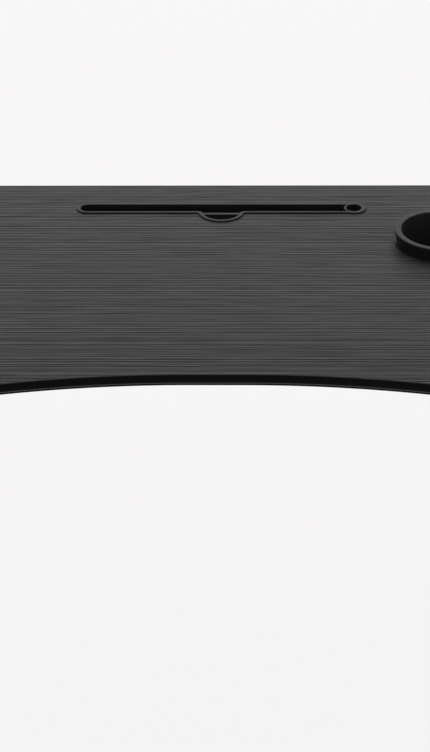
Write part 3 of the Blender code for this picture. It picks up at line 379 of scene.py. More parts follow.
def arc(centre, radius, start, end, steps):
    """Points along an arc, from one angle in degrees to another."""
    angles = [math.radians(start + (end - start) * i / steps) for i in range(steps + 1)]
    return [(centre[0] + radius * math.cos(a), centre[1] + radius * math.sin(a)) for a in angles]


def joined(*runs):
    """One closed outline from runs of points, without repeated points."""
    outline = []
    for point in (point for run in runs for point in run):
        if not outline or math.dist(point, outline[-1]) > WELD_DISTANCE:
            outline.append(point)
    if math.dist(outline[0], outline[-1]) <= WELD_DISTANCE:
        outline.pop()
    return outline


def circle(centre, radius, steps):
    """A closed round outline."""
    return joined(arc(centre, radius, 0, 360, steps))


def rounded_rectangle(low, high, radius, steps):
    """A closed outline between two corners, with round corners."""
    left, front = low[0] + radius, low[1] + radius
    right, rear = high[0] - radius, high[1] - radius
    return joined(arc((left, front), radius, 180, 270, steps),
                  arc((right, front), radius, 270, 360, steps),
                  arc((right, rear), radius, 0, 90, steps),
                  arc((left, rear), radius, 90, 180, steps))


def opened(mesh):
    """A bmesh of the mesh, to be changed and stored again."""
    work = bmesh.new()
    work.from_mesh(mesh)
    return work


def stored(work, mesh):
    """The mesh with what a bmesh holds, which is then freed."""
    work.to_mesh(mesh)
    work.free()
    return mesh


def mesh_from(work, name):
    """The mesh of a finished bmesh, its faces turned outwards."""
    bmesh.ops.recalc_face_normals(work, faces=work.faces)
    return stored(work, bpy.data.meshes.new(name))


def neighbours(rings, closed):
    """Each ring with the next one, and the last with the first where the shape closes."""
    pairs = list(zip(rings, rings[1:]))
    return pairs + [(rings[-1], rings[0])] if closed else pairs


def lofted(name, rings, closed=False):
    """A solid through outlines of equal point count, each a pair of outline and height."""
    work = bmesh.new()
    loops = [[work.verts.new((x, y, z)) for x, y in outline] for outline, z in rings]
    if not closed:
        work.faces.new(loops[0])
        work.faces.new(loops[-1])
    for lower, upper in neighbours(loops, closed):
        for i in range(len(lower)):
            j = (i + 1) % len(lower)
            work.faces.new((lower[i], lower[j], upper[j], upper[i]))
    return mesh_from(work, name)


def prism(name, outline, bottom, top):
    """A flat shape with straight sides."""
    return lofted(name, [(outline, bottom), (outline, top)])


def turned(name, profile, steps, closed=False):
    """A turned solid about Z, from a profile of radius and height."""
    work = bmesh.new()
    rings = []
    for radius, height in profile:
        outline = circle((0, 0), radius, steps) if radius else [(0, 0)]
        rings.append([work.verts.new((x, y, height)) for x, y in outline])
    for lower, upper in neighbours(rings, closed):
        for i in range(steps):
            spots = [ring[k % len(ring)]
                     for ring, k in ((lower, i), (lower, i + 1), (upper, i + 1), (upper, i))]
            work.faces.new(list(dict.fromkeys(spots)))
    return mesh_from(work, name)


def laid(mesh, *matrices):
    """The mesh moved by the matrices, the last one first."""
    for matrix in reversed(matrices):
        mesh.transform(matrix)
    return mesh


def stood(mesh):
    """A flat-drawn shape stood up, so that its drawing lies in the XZ plane."""
    return laid(mesh, Matrix.Rotation(QUARTER_TURN, 4, "X"))


def turned_to_y(mesh):
    """A shape made about Z, laid along Y with its top towards +Y."""
    return laid(mesh, Matrix.Rotation(-QUARTER_TURN, 4, "X"))


def added(data):
    """An object in the scene for a mesh, a lamp or a camera."""
    obj = bpy.data.objects.new(data.name, data)
    bpy.context.scene.collection.objects.link(obj)
    return obj


def evaluated(obj, *helpers):
    """The mesh that the object's modifiers make, after which it and its helpers are removed."""
    bpy.context.view_layer.update()
    graph = bpy.context.evaluated_depsgraph_get()
    mesh = bpy.data.meshes.new_from_object(obj.evaluated_get(graph), depsgraph=graph)
    mesh.name = obj.name
    for used in (obj, *helpers):
        bpy.data.objects.remove(used, do_unlink=True)
    return mesh


def combined(base, joins=(), cuts=()):
    """One solid with others joined to it and then others cut out of it."""
    body = added(base)
    tools = []
    for meshes, operation in ((joins, "UNION"), (cuts, "DIFFERENCE")):
        for mesh in meshes:
            tool = added(mesh)
            modifier = body.modifiers.new(operation, "BOOLEAN")
            modifier.operation = operation
            modifier.solver = "EXACT"
            modifier.object = tool
            tools.append(tool)
    mesh = evaluated(body, *tools)
    work = opened(mesh)
    bmesh.ops.remove_doubles(work, verts=work.verts, dist=WELD_DISTANCE)
    bmesh.ops.dissolve_degenerate(work, edges=work.edges, dist=WELD_DISTANCE)
    return stored(work, mesh)


def softened(mesh, width):
    """The mesh with its sharp edges rounded and its flat faces kept flat in the shading."""
    obj = added(mesh)
    mesh.shade_smooth()
    bevel = obj.modifiers.new("edges", "BEVEL")
    bevel.width = width
    bevel.segments = BEVEL_STEPS
    bevel.limit_method = "ANGLE"
    bevel.angle_limit = SMOOTH_BELOW
    bevel.use_clamp_overlap = True
    weighted = obj.modifiers.new("shading", "WEIGHTED_NORMAL")
    weighted.keep_sharp = True
    return evaluated(obj)


def smoothed(mesh):
    """The mesh with smooth shading between faces that meet at a small angle."""
    mesh.shade_smooth()
    mesh.set_sharp_from_angle(angle=SMOOTH_BELOW)
    return mesh


def finished(name, mesh, material, body, slot, *nodes):
    """A piece in its place, which rides on a body and replaces the frame's nodes."""
    if not mesh.polygons:
        raise RuntimeError(f"{name} has no faces")
    mesh.name = name
    if material.name not in mesh.materials:
        mesh.materials.clear()
        mesh.materials.append(material)
    obj = added(mesh)
    obj.name = name
    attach(obj, body)
    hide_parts(*nodes)
    return obj


def fill(tree, node, values):
    """Set a node's inputs; a value that is an output socket is linked to the input."""
    for socket, value in values.items():
        if isinstance(value, bpy.types.NodeSocket):
            tree.links.new(value, node.inputs[socket])
        else:
            node.inputs[socket].default_value = value


def add(tree, kind, values=None, **settings):
    """Add a node with its settings and its inputs."""
    node = tree.nodes.new(kind)
    for name, value in settings.items():
        setattr(node, name, value)
    fill(tree, node, values or {})
    return node


def new_tree(name, kind, inputs, outputs):
    """A node group and what comes in to it; a socket is given by its kind and its default, if any."""
    tree = bpy.data.node_groups.new(name, kind)
    for way, sockets in (("INPUT", inputs), ("OUTPUT", outputs)):
        for label, (shape, *default) in sockets.items():
            socket = tree.interface.new_socket(name=label, in_out=way, socket_type=f"NodeSocket{shape}")
            if default:
                socket.default_value = default[0]
    return tree, add(tree, "NodeGroupInput").outputs


def end_tree(tree, geometry, material):
    """Close a tree of geometry nodes: its copies are made real and get their material."""
    real = add(tree, "GeometryNodeRealizeInstances", {"Geometry": geometry})
    coated = add(tree, "GeometryNodeSetMaterial", {"Geometry": real.outputs[0], "Material": material})
    add(tree, "NodeGroupOutput", {"Geometry": coated.outputs[0]})


def calculated(tree, operation, first, second):
    """What a math node makes of two values."""
    return add(tree, "ShaderNodeMath", {0: first, 1: second}, operation=operation).outputs[0]


def copies_tree():
    """Nodes that put a piece on each point of a mesh, turned by the point's own angle and a random one."""
    tree, given = new_tree(
        "copies_on_points", "GeometryNodeTree",
        {"Geometry": ("Geometry",), "Piece": ("Object",), "Random Turn": ("Float", 0.0),
         "Seed": ("Int", 0), "Material": ("Material",)},
        {"Geometry": ("Geometry",)})
    piece = add(tree, "GeometryNodeObjectInfo", {"Object": given["Piece"]})
    facing = add(tree, "GeometryNodeInputNamedAttribute", {"Name": "facing"}, data_type="FLOAT")
    # Input 3 of a random value is its upper limit as a number, and output 1 is that number
    chance = add(tree, "FunctionNodeRandomValue", {"Seed": given["Seed"], 3: given["Random Turn"]},
                 data_type="FLOAT")
    spin = add(tree, "ShaderNodeCombineXYZ",
               {"Z": calculated(tree, "ADD", facing.outputs[0], chance.outputs[1])})
    copies = add(tree, "GeometryNodeInstanceOnPoints",
                 {"Points": given["Geometry"], "Instance": piece.outputs["Geometry"],
                  "Rotation": spin.outputs[0]})
    end_tree(tree, copies.outputs[0], given["Material"])
    return tree


def tube_tree():
    """Nodes that bend a tube along the edges of a mesh, with round bends and closed ends."""
    tree, given = new_tree(
        "bent_tube", "GeometryNodeTree",
        {"Geometry": ("Geometry",), "Tube Radius": ("Float", 0.01), "Bend Radius": ("Float", 0.03),
         "Bend Steps": ("Int", 24), "Sides": ("Int", 32), "Material": ("Material",)},
        {"Geometry": ("Geometry",)})
    path = add(tree, "GeometryNodeMeshToCurve", {"Mesh": given["Geometry"]})
    bent = add(tree, "GeometryNodeFilletCurve",
               {"Curve": path.outputs[0], "Count": given["Bend Steps"], "Radius": given["Bend Radius"]},
               mode="POLY")
    section = add(tree, "GeometryNodeCurvePrimitiveCircle",
                  {"Resolution": given["Sides"], "Radius": given["Tube Radius"]})
    tube = add(tree, "GeometryNodeCurveToMesh",
               {"Curve": bent.outputs[0], "Profile Curve": section.outputs[0], "Fill Caps": True})
    end_tree(tree, tube.outputs[0], given["Material"])
    return tree


def grown(name, tree, base, helpers=(), **inputs):
    """The mesh that a tree of nodes makes from a base mesh; inputs are named with low lines for spaces."""
    obj = added(base)
    obj.name = name
    modifier = obj.modifiers.new("nodes", "NODES")
    modifier.node_group = tree
    for item in tree.interface.items_tree:
        key = item.name.lower().replace(" ", "_")
        if item.in_out == "INPUT" and key in inputs:
            modifier[item.identifier] = inputs[key]
    return evaluated(obj, *helpers)


def spread(name, piece, places, material, random_turn=0.0, seed=0):
    """One mesh that holds a copy of a piece at each place, a pair of point and angle about Z."""
    points = bpy.data.meshes.new(name)
    points.from_pydata([point for point, _ in places], [], [])
    facing = points.attributes.new("facing", "FLOAT", "POINT")
    facing.data.foreach_set("value", [angle for _, angle in places])
    model = added(piece)
    return grown(name, copies_tree(), points, [model], piece=model, random_turn=random_turn,
                 seed=seed, material=material)


def middle(node):
    """Centre of a node's box."""
    low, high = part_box(node)
    return (low + high) / 2


def pivot(side):
    """Point on a leg's hinge axis, midway between its knuckles."""
    found = [joint for joint in frame["joints"] if joint["name"] == f"{side}_leg_fold"]
    return Vector(found[0]["pos_m"])


def foot_bar(side):
    """The middle of a leg's foot bar, and the radius of the sleeves on it."""
    low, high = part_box(f"{side}_rear_foot_sleeve")
    radius = (high.x - low.x) / 2
    return Vector(((high.x + low.x) / 2, 0, high.z - radius)), radius


def leg_frame_matrix(side):
    """Matrix from a leg's own axes, where it hangs straight down from its pivot, to the desk's."""
    at = pivot(side)
    down = foot_bar(side)[0] - at
    splay = math.atan2(down.x, -down.z)
    return Matrix.Translation(at) @ Matrix.Rotation(-splay, 4, "Y")


def leg_length(side):
    """From the pivot to the foot bar's centre line."""
    return (foot_bar(side)[0] - pivot(side)).length


def upright_y():
    """Distance of each upright from the middle of the desk."""
    return middle("right_rear_knuckle").y


def bracket_matrix(side, end):
    """Matrix from a bracket's own axes, about its pin and with the stop towards +X, to the desk's."""
    at = pivot(side) + Vector((0, ENDS[end] * upright_y(), 0))
    return Matrix.Translation(at) @ Matrix.Rotation(0 if side == "right" else math.pi, 4, "Z")


def noise(tree, place, scale, detail, roughness=0.5, distortion=0.0):
    """Level of a cloudy noise."""
    return add(tree, "ShaderNodeTexNoise",
               {"Vector": place, "Scale": scale, "Detail": detail, "Roughness": roughness,
                "Distortion": distortion}).outputs["Fac"]


def ranged(tree, value, given=(0.0, 1.0), wanted=(0.0, 1.0), **settings):
    """A value brought from the given pair of levels to the wanted one."""
    return add(tree, "ShaderNodeMapRange",
               {"Value": value, "From Min": given[0], "From Max": given[1], "To Min": wanted[0],
                "To Max": wanted[1]}, **settings).outputs[0]


def blended(tree, first, second, weight):
    """A value between two others, nearer to the second by its weight."""
    # Inputs 2 and 3 of a mix are its two values
    return add(tree, "ShaderNodeMix", {"Factor": weight, 2: first, 3: second}).outputs[0]


def blended_colour(tree, first, second, weight):
    """A colour between two others, nearer to the second by its weight."""
    # Inputs 6 and 7 of a mix are its two colours, and output 2 is the mixed one
    mix = add(tree, "ShaderNodeMix", {"Factor": weight, 6: first, 7: second}, data_type="RGBA")
    return mix.outputs[2]


def scaled_colour(tree, values, level):
    """A colour made lighter or darker by a level."""
    return add(tree, "ShaderNodeVectorMath", {0: values[:], "Scale": level}, operation="SCALE").outputs[0]


def streaks_group():
    """Noise drawn out into streaks along X, as a value between two levels."""
    tree, given = new_tree(
        "streaks", "ShaderNodeTree",
        {"Vector": ("Vector",), "Along": ("Float", 5.0), "Across": ("Float", 200.0),
         "Detail": ("Float", 2.0), "Low": ("Float", 0.35), "High": ("Float", 0.65)},
        {"Value": ("Float",)})
    stretch = add(tree, "ShaderNodeCombineXYZ",
                  {"X": given["Along"], "Y": given["Across"], "Z": given["Along"]})
    place = add(tree, "ShaderNodeVectorMath", {0: given["Vector"], 1: stretch.outputs[0]},
                operation="MULTIPLY")
    level = noise(tree, place.outputs[0], scale=1.0, detail=given["Detail"])
    add(tree, "NodeGroupOutput", {"Value": ranged(tree, level, (given["Low"], given["High"]))})
    return tree


def fine_texture_group():
    """Fine moulded or sprayed texture: a height for bump and a roughness that varies a little."""
    tree, given = new_tree(
        "fine_texture", "ShaderNodeTree",
        {"Vector": ("Vector",), "Scale": ("Float", 1500.0), "Roughness": ("Float", 0.5),
         "Spread": ("Float", 0.1)},
        {"Height": ("Float",), "Roughness": ("Float",)})
    grain = noise(tree, given["Vector"], given["Scale"], detail=2.0)
    cloud = noise(tree, given["Vector"], scale=45.0, detail=4.0)
    low = calculated(tree, "SUBTRACT", given["Roughness"], given["Spread"])
    high = calculated(tree, "ADD", given["Roughness"], given["Spread"])
    rough = ranged(tree, blended(tree, cloud, grain, weight=0.3), given=(0.3, 0.7), wanted=(low, high))
    add(tree, "NodeGroupOutput", {"Height": grain, "Roughness": rough})
    return tree


def handling_group():
    """A colour that is a little paler in soft patches, as from handling and settled dust."""
    tree, given = new_tree(
        "handling", "ShaderNodeTree",
        {"Vector": ("Vector",), "Colour": ("Color", (0.02, 0.02, 0.02, 1.0)), "Amount": ("Float", 0.1),
         "Scale": ("Float", 30.0)},
        {"Colour": ("Color",)})
    patches = noise(tree, given["Vector"], given["Scale"], detail=5.0, roughness=0.6)
    mask = ranged(tree, patches, given=(0.4, 0.75))
    much = calculated(tree, "MULTIPLY", mask, given["Amount"])
    add(tree, "NodeGroupOutput", {"Colour": blended_colour(tree, given["Colour"], DUST, much)})
    return tree


GROUP_MAKERS = {
    "streaks": streaks_group,
    "fine_texture": fine_texture_group,
    "handling": handling_group,
}


def add_group(tree, name, values):
    """Place a shared node group, made the first time it is asked for."""
    group = bpy.data.node_groups.get(name) or GROUP_MAKERS[name]()
    return add(tree, "ShaderNodeGroup", values, node_tree=group)


def new_material(name):
    """A material with its tree, its Principled shader and the object's own coordinates."""
    material = bpy.data.materials.new(name)
    material.use_nodes = True
    tree = material.node_tree
    place = add(tree, "ShaderNodeTexCoord").outputs["Object"]
    return material, tree, tree.nodes["Principled BSDF"], place


def add_bump(tree, shader, height, distance):
    """Bump from a height, whose full range is a distance."""
    bump = add(tree, "ShaderNodeBump", {"Height": height, "Distance": distance, "Strength": 1.0})
    fill(tree, shader, {"Normal": bump.outputs[0]})


def opaque(values):
    """A colour with full alpha."""
    return (*values, 1.0)


def grain_material(grain):
    """Charcoal wood-grain laminate: long embossed lines with a painted highlight beside each, tonal bands,
    dark pores with painted highlights at their edges.
    """
    material, tree, shader, place = new_material("charcoal_grain")
    beside = add(tree, "ShaderNodeVectorMath", {0: place, 1: (0.0, grain.beside, 0.0)}).outputs[0]

    def streaks(kind, vector=place):
        return add_group(tree, "streaks", {"Vector": vector, **GRAIN_STREAKS[kind]}).outputs[0]

    # The pale lines beside the grooves are painted highlights
    level = blended(tree, streaks("grooves"), streaks("ridge_highlights", beside), grain.ridge_highlights)
    level = blended(tree, level, streaks("short"), grain.short)
    level = blended(tree, level, streaks("bands"), grain.bands)
    level = blended(tree, level, streaks("fine"), grain.fine)
    tone = ranged(tree, level, given=GRAIN_LEVELS)
    pores = calculated(tree, "MULTIPLY", streaks("pores"), grain.pores)
    # Painted highlights at the pores' edges, from the pores' streak moved aside
    edges = calculated(tree, "MULTIPLY", streaks("pores", beside), grain.pores)
    base = blended_colour(tree, opaque(grain.dark), opaque(grain.light), tone)
    pored = blended_colour(tree, base, opaque(grain.pore), pores)
    highlighted = blended_colour(tree, pored, opaque(grain.pore_edge_highlight), edges)
    rough = ranged(tree, tone, wanted=(grain.dark_roughness, grain.light_roughness))
    fill(tree, shader, {"Base Color": highlighted, "Roughness": rough, "Specular IOR Level": grain.gloss})
    add_bump(tree, shader, calculated(tree, "SUBTRACT", tone, pores), grain.emboss)
    return material


def board_material(finishes):
    """Pressed fibreboard: fibres in two sizes and a faint mottle."""
    material, tree, shader, place = new_material("pressed_fibreboard")
    fibres = noise(tree, place, scale=900.0, detail=4.0, roughness=0.7, distortion=1.5)
    mottle = noise(tree, place, scale=260.0, detail=5.0)
    tone = ranged(tree, blended(tree, fibres, mottle, weight=0.3), given=(0.35, 0.65), wanted=(0.6, 1.25))
    base = scaled_colour(tree, finishes.board, tone)
    fill(tree, shader, {"Base Color": base, "Roughness": 0.85, "Specular IOR Level": 0.25})
    add_bump(tree, shader, fibres, distance=0.12 * MM)
    return material


def textured_material(name, colour, roughness, specular, scale, depth, dust):
    """A plain dark plastic, paint or rubber with a fine texture and faint handling marks."""
    material, tree, shader, place = new_material(name)
    base = opaque(getattr(bpy.context.scene.lap_desk_finishes, colour))
    texture = add_group(tree, "fine_texture", {"Vector": place, "Scale": scale, "Roughness": roughness,
                                               "Spread": ROUGHNESS_SPREAD})
    marks = add_group(tree, "handling", {"Vector": place, "Colour": base, "Amount": dust})
    fill(tree, shader, {"Base Color": marks.outputs["Colour"], "Roughness": texture.outputs["Roughness"],
                        "Specular IOR Level": specular})
    add_bump(tree, shader, texture.outputs["Height"], depth)
    return material


def edge_material(finishes, sizes):
    """The edge moulding's plastic, with a pale band painted along its lower edge as a highlight."""
    material = plain_finish("edge_moulding")
    tree = material.node_tree
    shader = tree.nodes["Principled BSDF"]
    place = add(tree, "ShaderNodeTexCoord").outputs["Object"]
    height = add(tree, "ShaderNodeSeparateXYZ", {0: place}).outputs["Z"]
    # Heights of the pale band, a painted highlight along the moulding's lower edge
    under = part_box("edge_band")[0].z + sizes.lip_height
    above = calculated(tree, "GREATER_THAN", height, under)
    below = calculated(tree, "LESS_THAN", height, under + sizes.facet)
    highlight_band = calculated(tree, "MULTIPLY", above, below)
    plain = shader.inputs["Base Color"].links[0].from_socket
    fill(tree, shader, {"Base Color": blended_colour(tree, plain, opaque(finishes.arris_highlight), highlight_band)})
    return material


def zinc_material(finishes):
    """Zinc-plated steel: a faint spangle, fine turning marks and a satin gloss."""
    material, tree, shader, place = new_material("zinc_plate")
    spangle = add(tree, "ShaderNodeTexVoronoi", {"Vector": place, "Scale": 700.0}).outputs["Distance"]
    base = scaled_colour(tree, finishes.zinc, ranged(tree, spangle, wanted=(0.86, 1.1)))
    texture = add_group(tree, "fine_texture", {"Vector": place, "Scale": 2600.0, "Roughness": 0.34,
                                               "Spread": 0.1})
    fill(tree, shader, {"Base Color": base, "Roughness": texture.outputs["Roughness"], "Metallic": 1.0})
    add_bump(tree, shader, texture.outputs["Height"], distance=0.02 * MM)
    return material


def plain_finish(kind):
    """One of the plain dark finishes, made the first time it is asked for."""
    return bpy.data.materials.get(kind) or textured_material(kind, **PLAIN_FINISHES[kind])


def zinc_finish():
    """The fasteners' finish, made the first time it is asked for."""
    return bpy.data.materials.get("zinc_plate") or zinc_material(bpy.context.scene.lap_desk_finishes)


def give_material(node, material):
    """Put a finish on one of the frame's nodes."""
    mesh = frame["nodes"][node].data
    mesh.materials.clear()
    mesh.materials.append(material)


def rounding(radius, top):
    """Insets and heights of a rounded upper edge, from its side to its top."""
    return [(radius * (1 - math.cos(a)), top - radius * (1 - math.sin(a))) for a in ROUND_ANGLES]


def bowl_corner(radius, wall, floor):
    """Rounding between the floor and the wall of a bowl, from the floor up."""
    return [(wall - radius * (1 - math.sin(a)), floor + radius * (1 - math.cos(a))) for a in ROUND_ANGLES]


def dome(radius, height, flat):
    """Half section of a domed head, from its rim to the edge of its flat share."""
    return [(radius * (flat + (1 - flat) * math.cos(a)), height * math.sin(a)) for a in ROUND_ANGLES]


def desk_outline(sizes, inset):
    """Outline of the desktop drawn in by inset: a hollow front between two shoulders."""
    half_width, half_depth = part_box("edge_band")[1].xy
    corner_x = half_width - sizes.corner_radius
    corner_y = half_depth - sizes.corner_radius
    radii = sizes.hollow_radius + sizes.shoulder_radius
    swing = math.asin((corner_x - sizes.flat_half) / radii)
    hollow_y = radii * (1 - math.cos(swing)) - half_depth - sizes.hollow_radius
    shoulder_y = sizes.shoulder_radius - half_depth
    degrees = math.degrees(swing)
    corner = sizes.corner_radius - inset
    shoulder = sizes.shoulder_radius - inset
    hollow = sizes.hollow_radius + inset
    flat = sizes.flat_half
    return joined(
        arc((-corner_x, -corner_y), corner, 180, 270, CORNER_STEPS),
        arc((-corner_x, shoulder_y), shoulder, 270, 270 + degrees, CORNER_STEPS),
        arc((-flat, hollow_y), hollow, 90 + degrees, 90, HOLLOW_STEPS),
        arc((flat, hollow_y), hollow, 90, 90 - degrees, HOLLOW_STEPS),
        arc((corner_x, shoulder_y), shoulder, 270 - degrees, 270, CORNER_STEPS),
        arc((corner_x, -corner_y), corner, 270, 360, CORNER_STEPS),
        arc((corner_x, corner_y), corner, 0, 90, CORNER_STEPS),
        arc((-corner_x, corner_y), corner, 90, 180, CORNER_STEPS))


def edge_moulding_mesh(sizes):
    """Edge moulding round the board: a domed face above a lip that is set back."""
    low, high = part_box("edge_band")
    top = high.z - sizes.top_round
    under = low.z + sizes.lip_height
    centre, half = (top + under + sizes.facet) / 2, (top - under - sizes.facet) / 2
    inner = sizes.band + GAP - sizes.seam
    section = [(inner, low.z), (inner, high.z)]
    section += [(sizes.crown + inset, z) for inset, z in reversed(rounding(sizes.top_round, high.z))]
    levels = [1 - 2 * i / ROUND_STEPS for i in range(1, ROUND_STEPS + 1)]
    section += [(sizes.crown * t * t, centre + half * t) for t in levels]
    section += [(sizes.lip_inset, under), (sizes.lip_inset, low.z + sizes.lip_round),
                (sizes.lip_inset + sizes.lip_round, low.z)]
    return lofted("edge_moulding", [(desk_outline(sizes, inset), z) for inset, z in section], closed=True)


def pen_place(sizes):
    """Place of the pen hole along the insert, and the radius of its ring."""
    low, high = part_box("slot_insert")
    ring = sizes.slot_width / 2 + sizes.rim_width + sizes.ring_bulge
    return (high.x - low.x) / 2 - ring, ring


def insert_outline(sizes, inset):
    """Outline of the insert's rim drawn in by inset: slot, half-moon and pen ring."""
    low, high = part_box("slot_insert")
    pen_x, ring = pen_place(sizes)
    rim_half = sizes.slot_width / 2 + sizes.rim_width
    half = rim_half - inset
    fillet_y = rim_half + sizes.fillet - sizes.notch_forward
    fillet_x = math.sqrt((sizes.notch_radius + sizes.fillet) ** 2 - fillet_y ** 2)
    lean = math.degrees(math.atan2(fillet_y, fillet_x))
    meet = math.degrees(math.asin(half / (ring - inset)))
    left_end = (rim_half - (high.x - low.x) / 2, 0)
    fillet = sizes.fillet + inset
    return joined(
        arc(left_end, half, 90, 270, END_STEPS),
        arc((-fillet_x, -rim_half - sizes.fillet), fillet, 90, lean, FILLET_STEPS),
        arc((0, -sizes.notch_forward), sizes.notch_radius - inset, 180 + lean, 360 - lean, NOTCH_STEPS),
        arc((fillet_x, -rim_half - sizes.fillet), fillet, 180 - lean, 90, FILLET_STEPS),
        arc((pen_x, 0), ring - inset, 180 + meet, 540 - meet, PEN_STEPS))


def slot_outline(sizes, inset):
    """Outline of the tablet slot: round at the left, hollowed by the pen ring at the right."""
    low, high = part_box("slot_insert")
    half = sizes.slot_width / 2 - inset
    ring = sizes.pen_radius + sizes.divider + inset
    meet = math.degrees(math.asin(half / ring))
    left_end = (sizes.rim_width + sizes.slot_width / 2 - (high.x - low.x) / 2, 0)
    return joined(
        arc(left_end, half, 90, 270, END_STEPS),
        arc((pen_place(sizes)[0], 0), ring, 180 + meet, 180 - meet, FILLET_STEPS * 2))


def notch_bar(sizes):
    """Radius of the half-moon opening, and the share of it that the bar's front edge lies forward."""
    radius = sizes.notch_radius - sizes.notch_rim
    return radius, (sizes.slot_width / 2 + sizes.bar_width - sizes.notch_forward) / radius


def notch_outline(sizes):
    """Outline of the half-moon opening in front of the bar."""
    radius, forward = notch_bar(sizes)
    drop = math.degrees(math.asin(forward))
    return joined(arc((0, -sizes.notch_forward), radius, 180 + drop, 360 - drop, NOTCH_STEPS))


def relief_outline(sizes, inset):
    """Outline of the step over the bar, where the slot's edge runs into the half-moon in a curve."""
    radius, forward = notch_bar(sizes)
    drop = math.degrees(math.asin(forward))
    fillet = sizes.bar_width / (1 - forward)
    x = (radius + fillet) * math.sqrt(1 - forward ** 2)
    y = -sizes.slot_width / 2 - fillet
    near = sizes.draft - sizes.slot_width / 2
    return joined(
        [(-x, near)],
        arc((-x, y), fillet + inset, 90, drop, FILLET_STEPS),
        arc((0, -sizes.notch_forward), radius - inset, 180 + drop, 360 - drop, NOTCH_STEPS),
        arc((x, y), fillet + inset, 180 - drop, 90, FILLET_STEPS),
        [(x, near)])


def barb_mesh(barbs, root, under):
    """A barb that points along X from a wall at root, with its flat top under the board."""
    outline = [(root - barbs.root, under), (root + barbs.reach, under), (root, under - barbs.height),
               (root - barbs.root, under - barbs.height)]
    return stood(prism("barb", outline, -barbs.width / 2, barbs.width / 2))


def slot_insert_mesh(sizes, barbs):
    """The whole insert about the middle of its slot, at the level of the desktop."""
    low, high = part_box("slot_insert")
    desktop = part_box("top_laminate")[1].z
    rim, bottom = high.z - desktop, low.z - desktop
    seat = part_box("desktop_board")[1].z + GAP - desktop
    section = [(sizes.overhang, bottom), (sizes.overhang, seat), (0, seat)]
    section += rounding(sizes.rim_round, rim)
    body = lofted("slot_insert_body", [(insert_outline(sizes, inset), z) for inset, z in section])
    mouth = [(-inset, z) for inset, z in rounding(sizes.lip, rim)] + [(-sizes.lip, rim + OVERRUN)]
    opening = [(sizes.draft, bottom + sizes.floor)] + mouth
    slot = lofted("slot", [(slot_outline(sizes, inset), z) for inset, z in opening])
    pen_x = pen_place(sizes)[0]
    pen = lofted("pen", [(circle((pen_x, 0), sizes.pen_radius - inset, PEN_STEPS), z)
                         for inset, z in opening])
    notch = prism("notch", notch_outline(sizes), bottom - OVERRUN, rim + OVERRUN)
    relief = lofted("relief", [(relief_outline(sizes, inset), z)
                               for inset, z in [(0, rim - sizes.bar_drop)] + mouth])
    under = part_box("desktop_board")[0].z - GAP - desktop
    wall = sizes.slot_width / 2 + sizes.rim_width - sizes.overhang
    catches = []
    for way in (-1, 1):
        for along in INSERT_BARB_SHARES:
            spot = Matrix.Translation((along * high.x, 0, 0)) @ Matrix.Rotation(way * QUARTER_TURN, 4, "Z")
            catches.append(laid(barb_mesh(barbs, wall, under), spot))
    mesh = combined(body, catches, [slot, pen, notch, relief])
    middle_y = low.y + sizes.notch_forward + sizes.notch_radius
    return laid(mesh, Matrix.Translation((0, middle_y, desktop)))


def cup_holder_mesh(sizes, barbs):
    """Cup well and ring about their axis, moved to their place."""
    low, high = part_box("cup_holder")
    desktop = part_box("top_laminate")[1].z
    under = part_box("desktop_board")[0].z
    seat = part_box("desktop_board")[1].z + GAP
    ring = (high.x - low.x) / 2
    floor = low.z + sizes.wall
    foot = sizes.inner_radius - sizes.taper
    body = sizes.inner_radius + sizes.wall
    skirt_top = high.z - sizes.wall
    flange = desktop + sizes.flange
    bowl = bowl_corner(sizes.foot_round, foot, floor)
    lip = [(sizes.inner_radius + inset, z) for inset, z in rounding(sizes.lip_round, high.z)]
    edge = [(ring - inset, z) for inset, z in reversed(rounding(sizes.ring_round, high.z))]
    belly = bowl_corner(sizes.foot_round, foot + sizes.wall, low.z)[::-1]
    profile = ([(0, floor)] + bowl + [(sizes.inner_radius, under)] + lip + edge
               + [(ring - sizes.skirt_draft, flange), (ring, flange), (ring, seat),
                  (ring - sizes.skirt, seat), (ring - sizes.skirt, skirt_top),
                  (body, skirt_top), (body, under)] + belly + [(0, low.z)])
    well = turned("cup_well_shell", profile, CUP_STEPS)
    catches = []
    for i in range(CUP_BARBS):
        spot = Matrix.Rotation(2 * math.pi * i / CUP_BARBS, 4, "Z")
        catches.append(laid(barb_mesh(barbs, body, under - GAP), spot))
    mesh = combined(well, catches)
    centre = (low + high) / 2
    return laid(mesh, Matrix.Translation((centre.x, centre.y, 0)))


def line_well(mesh, sizes):
    """Give the inside of the well, its wall and its floor, a finish of its own, paler than the ring and skirt
    as painted light inside the well.
    """
    centre = middle("cup_holder")
    for kind in ("satin_moulding", "well_lining"):
        mesh.materials.append(plain_finish(kind))
    for face in mesh.polygons:
        away = (face.center - centre).xy
        inside = away.length < sizes.inner_radius + GAP
        if inside and (face.normal.z > LOOKS_UP or away.dot(face.normal.xy) < 0):
            face.material_index = 1


def rod(name, radius, long, steps, axis="Z"):
    """A round bar about its centre, along Z or along Y."""
    mesh = prism(name, circle((0, 0), radius, steps), -long / 2, long / 2)
    return turned_to_y(mesh) if axis == "Y" else mesh


def plate_levels(sizes):
    """Heights of a bracket plate's top and underside, and of the ribs' roots, above the pin."""
    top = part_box("desktop_board")[0].z - GAP - pivot("right").z
    return top, top - sizes.plate, top - sizes.plate / 2


def plate_outline(sizes):
    """Outline of a bracket plate, which reaches further inwards than outwards."""
    return rounded_rectangle((-sizes.plate_inward, -sizes.plate_half),
                             (sizes.plate_outward, sizes.plate_half), sizes.plate_corner, FILLET_STEPS)


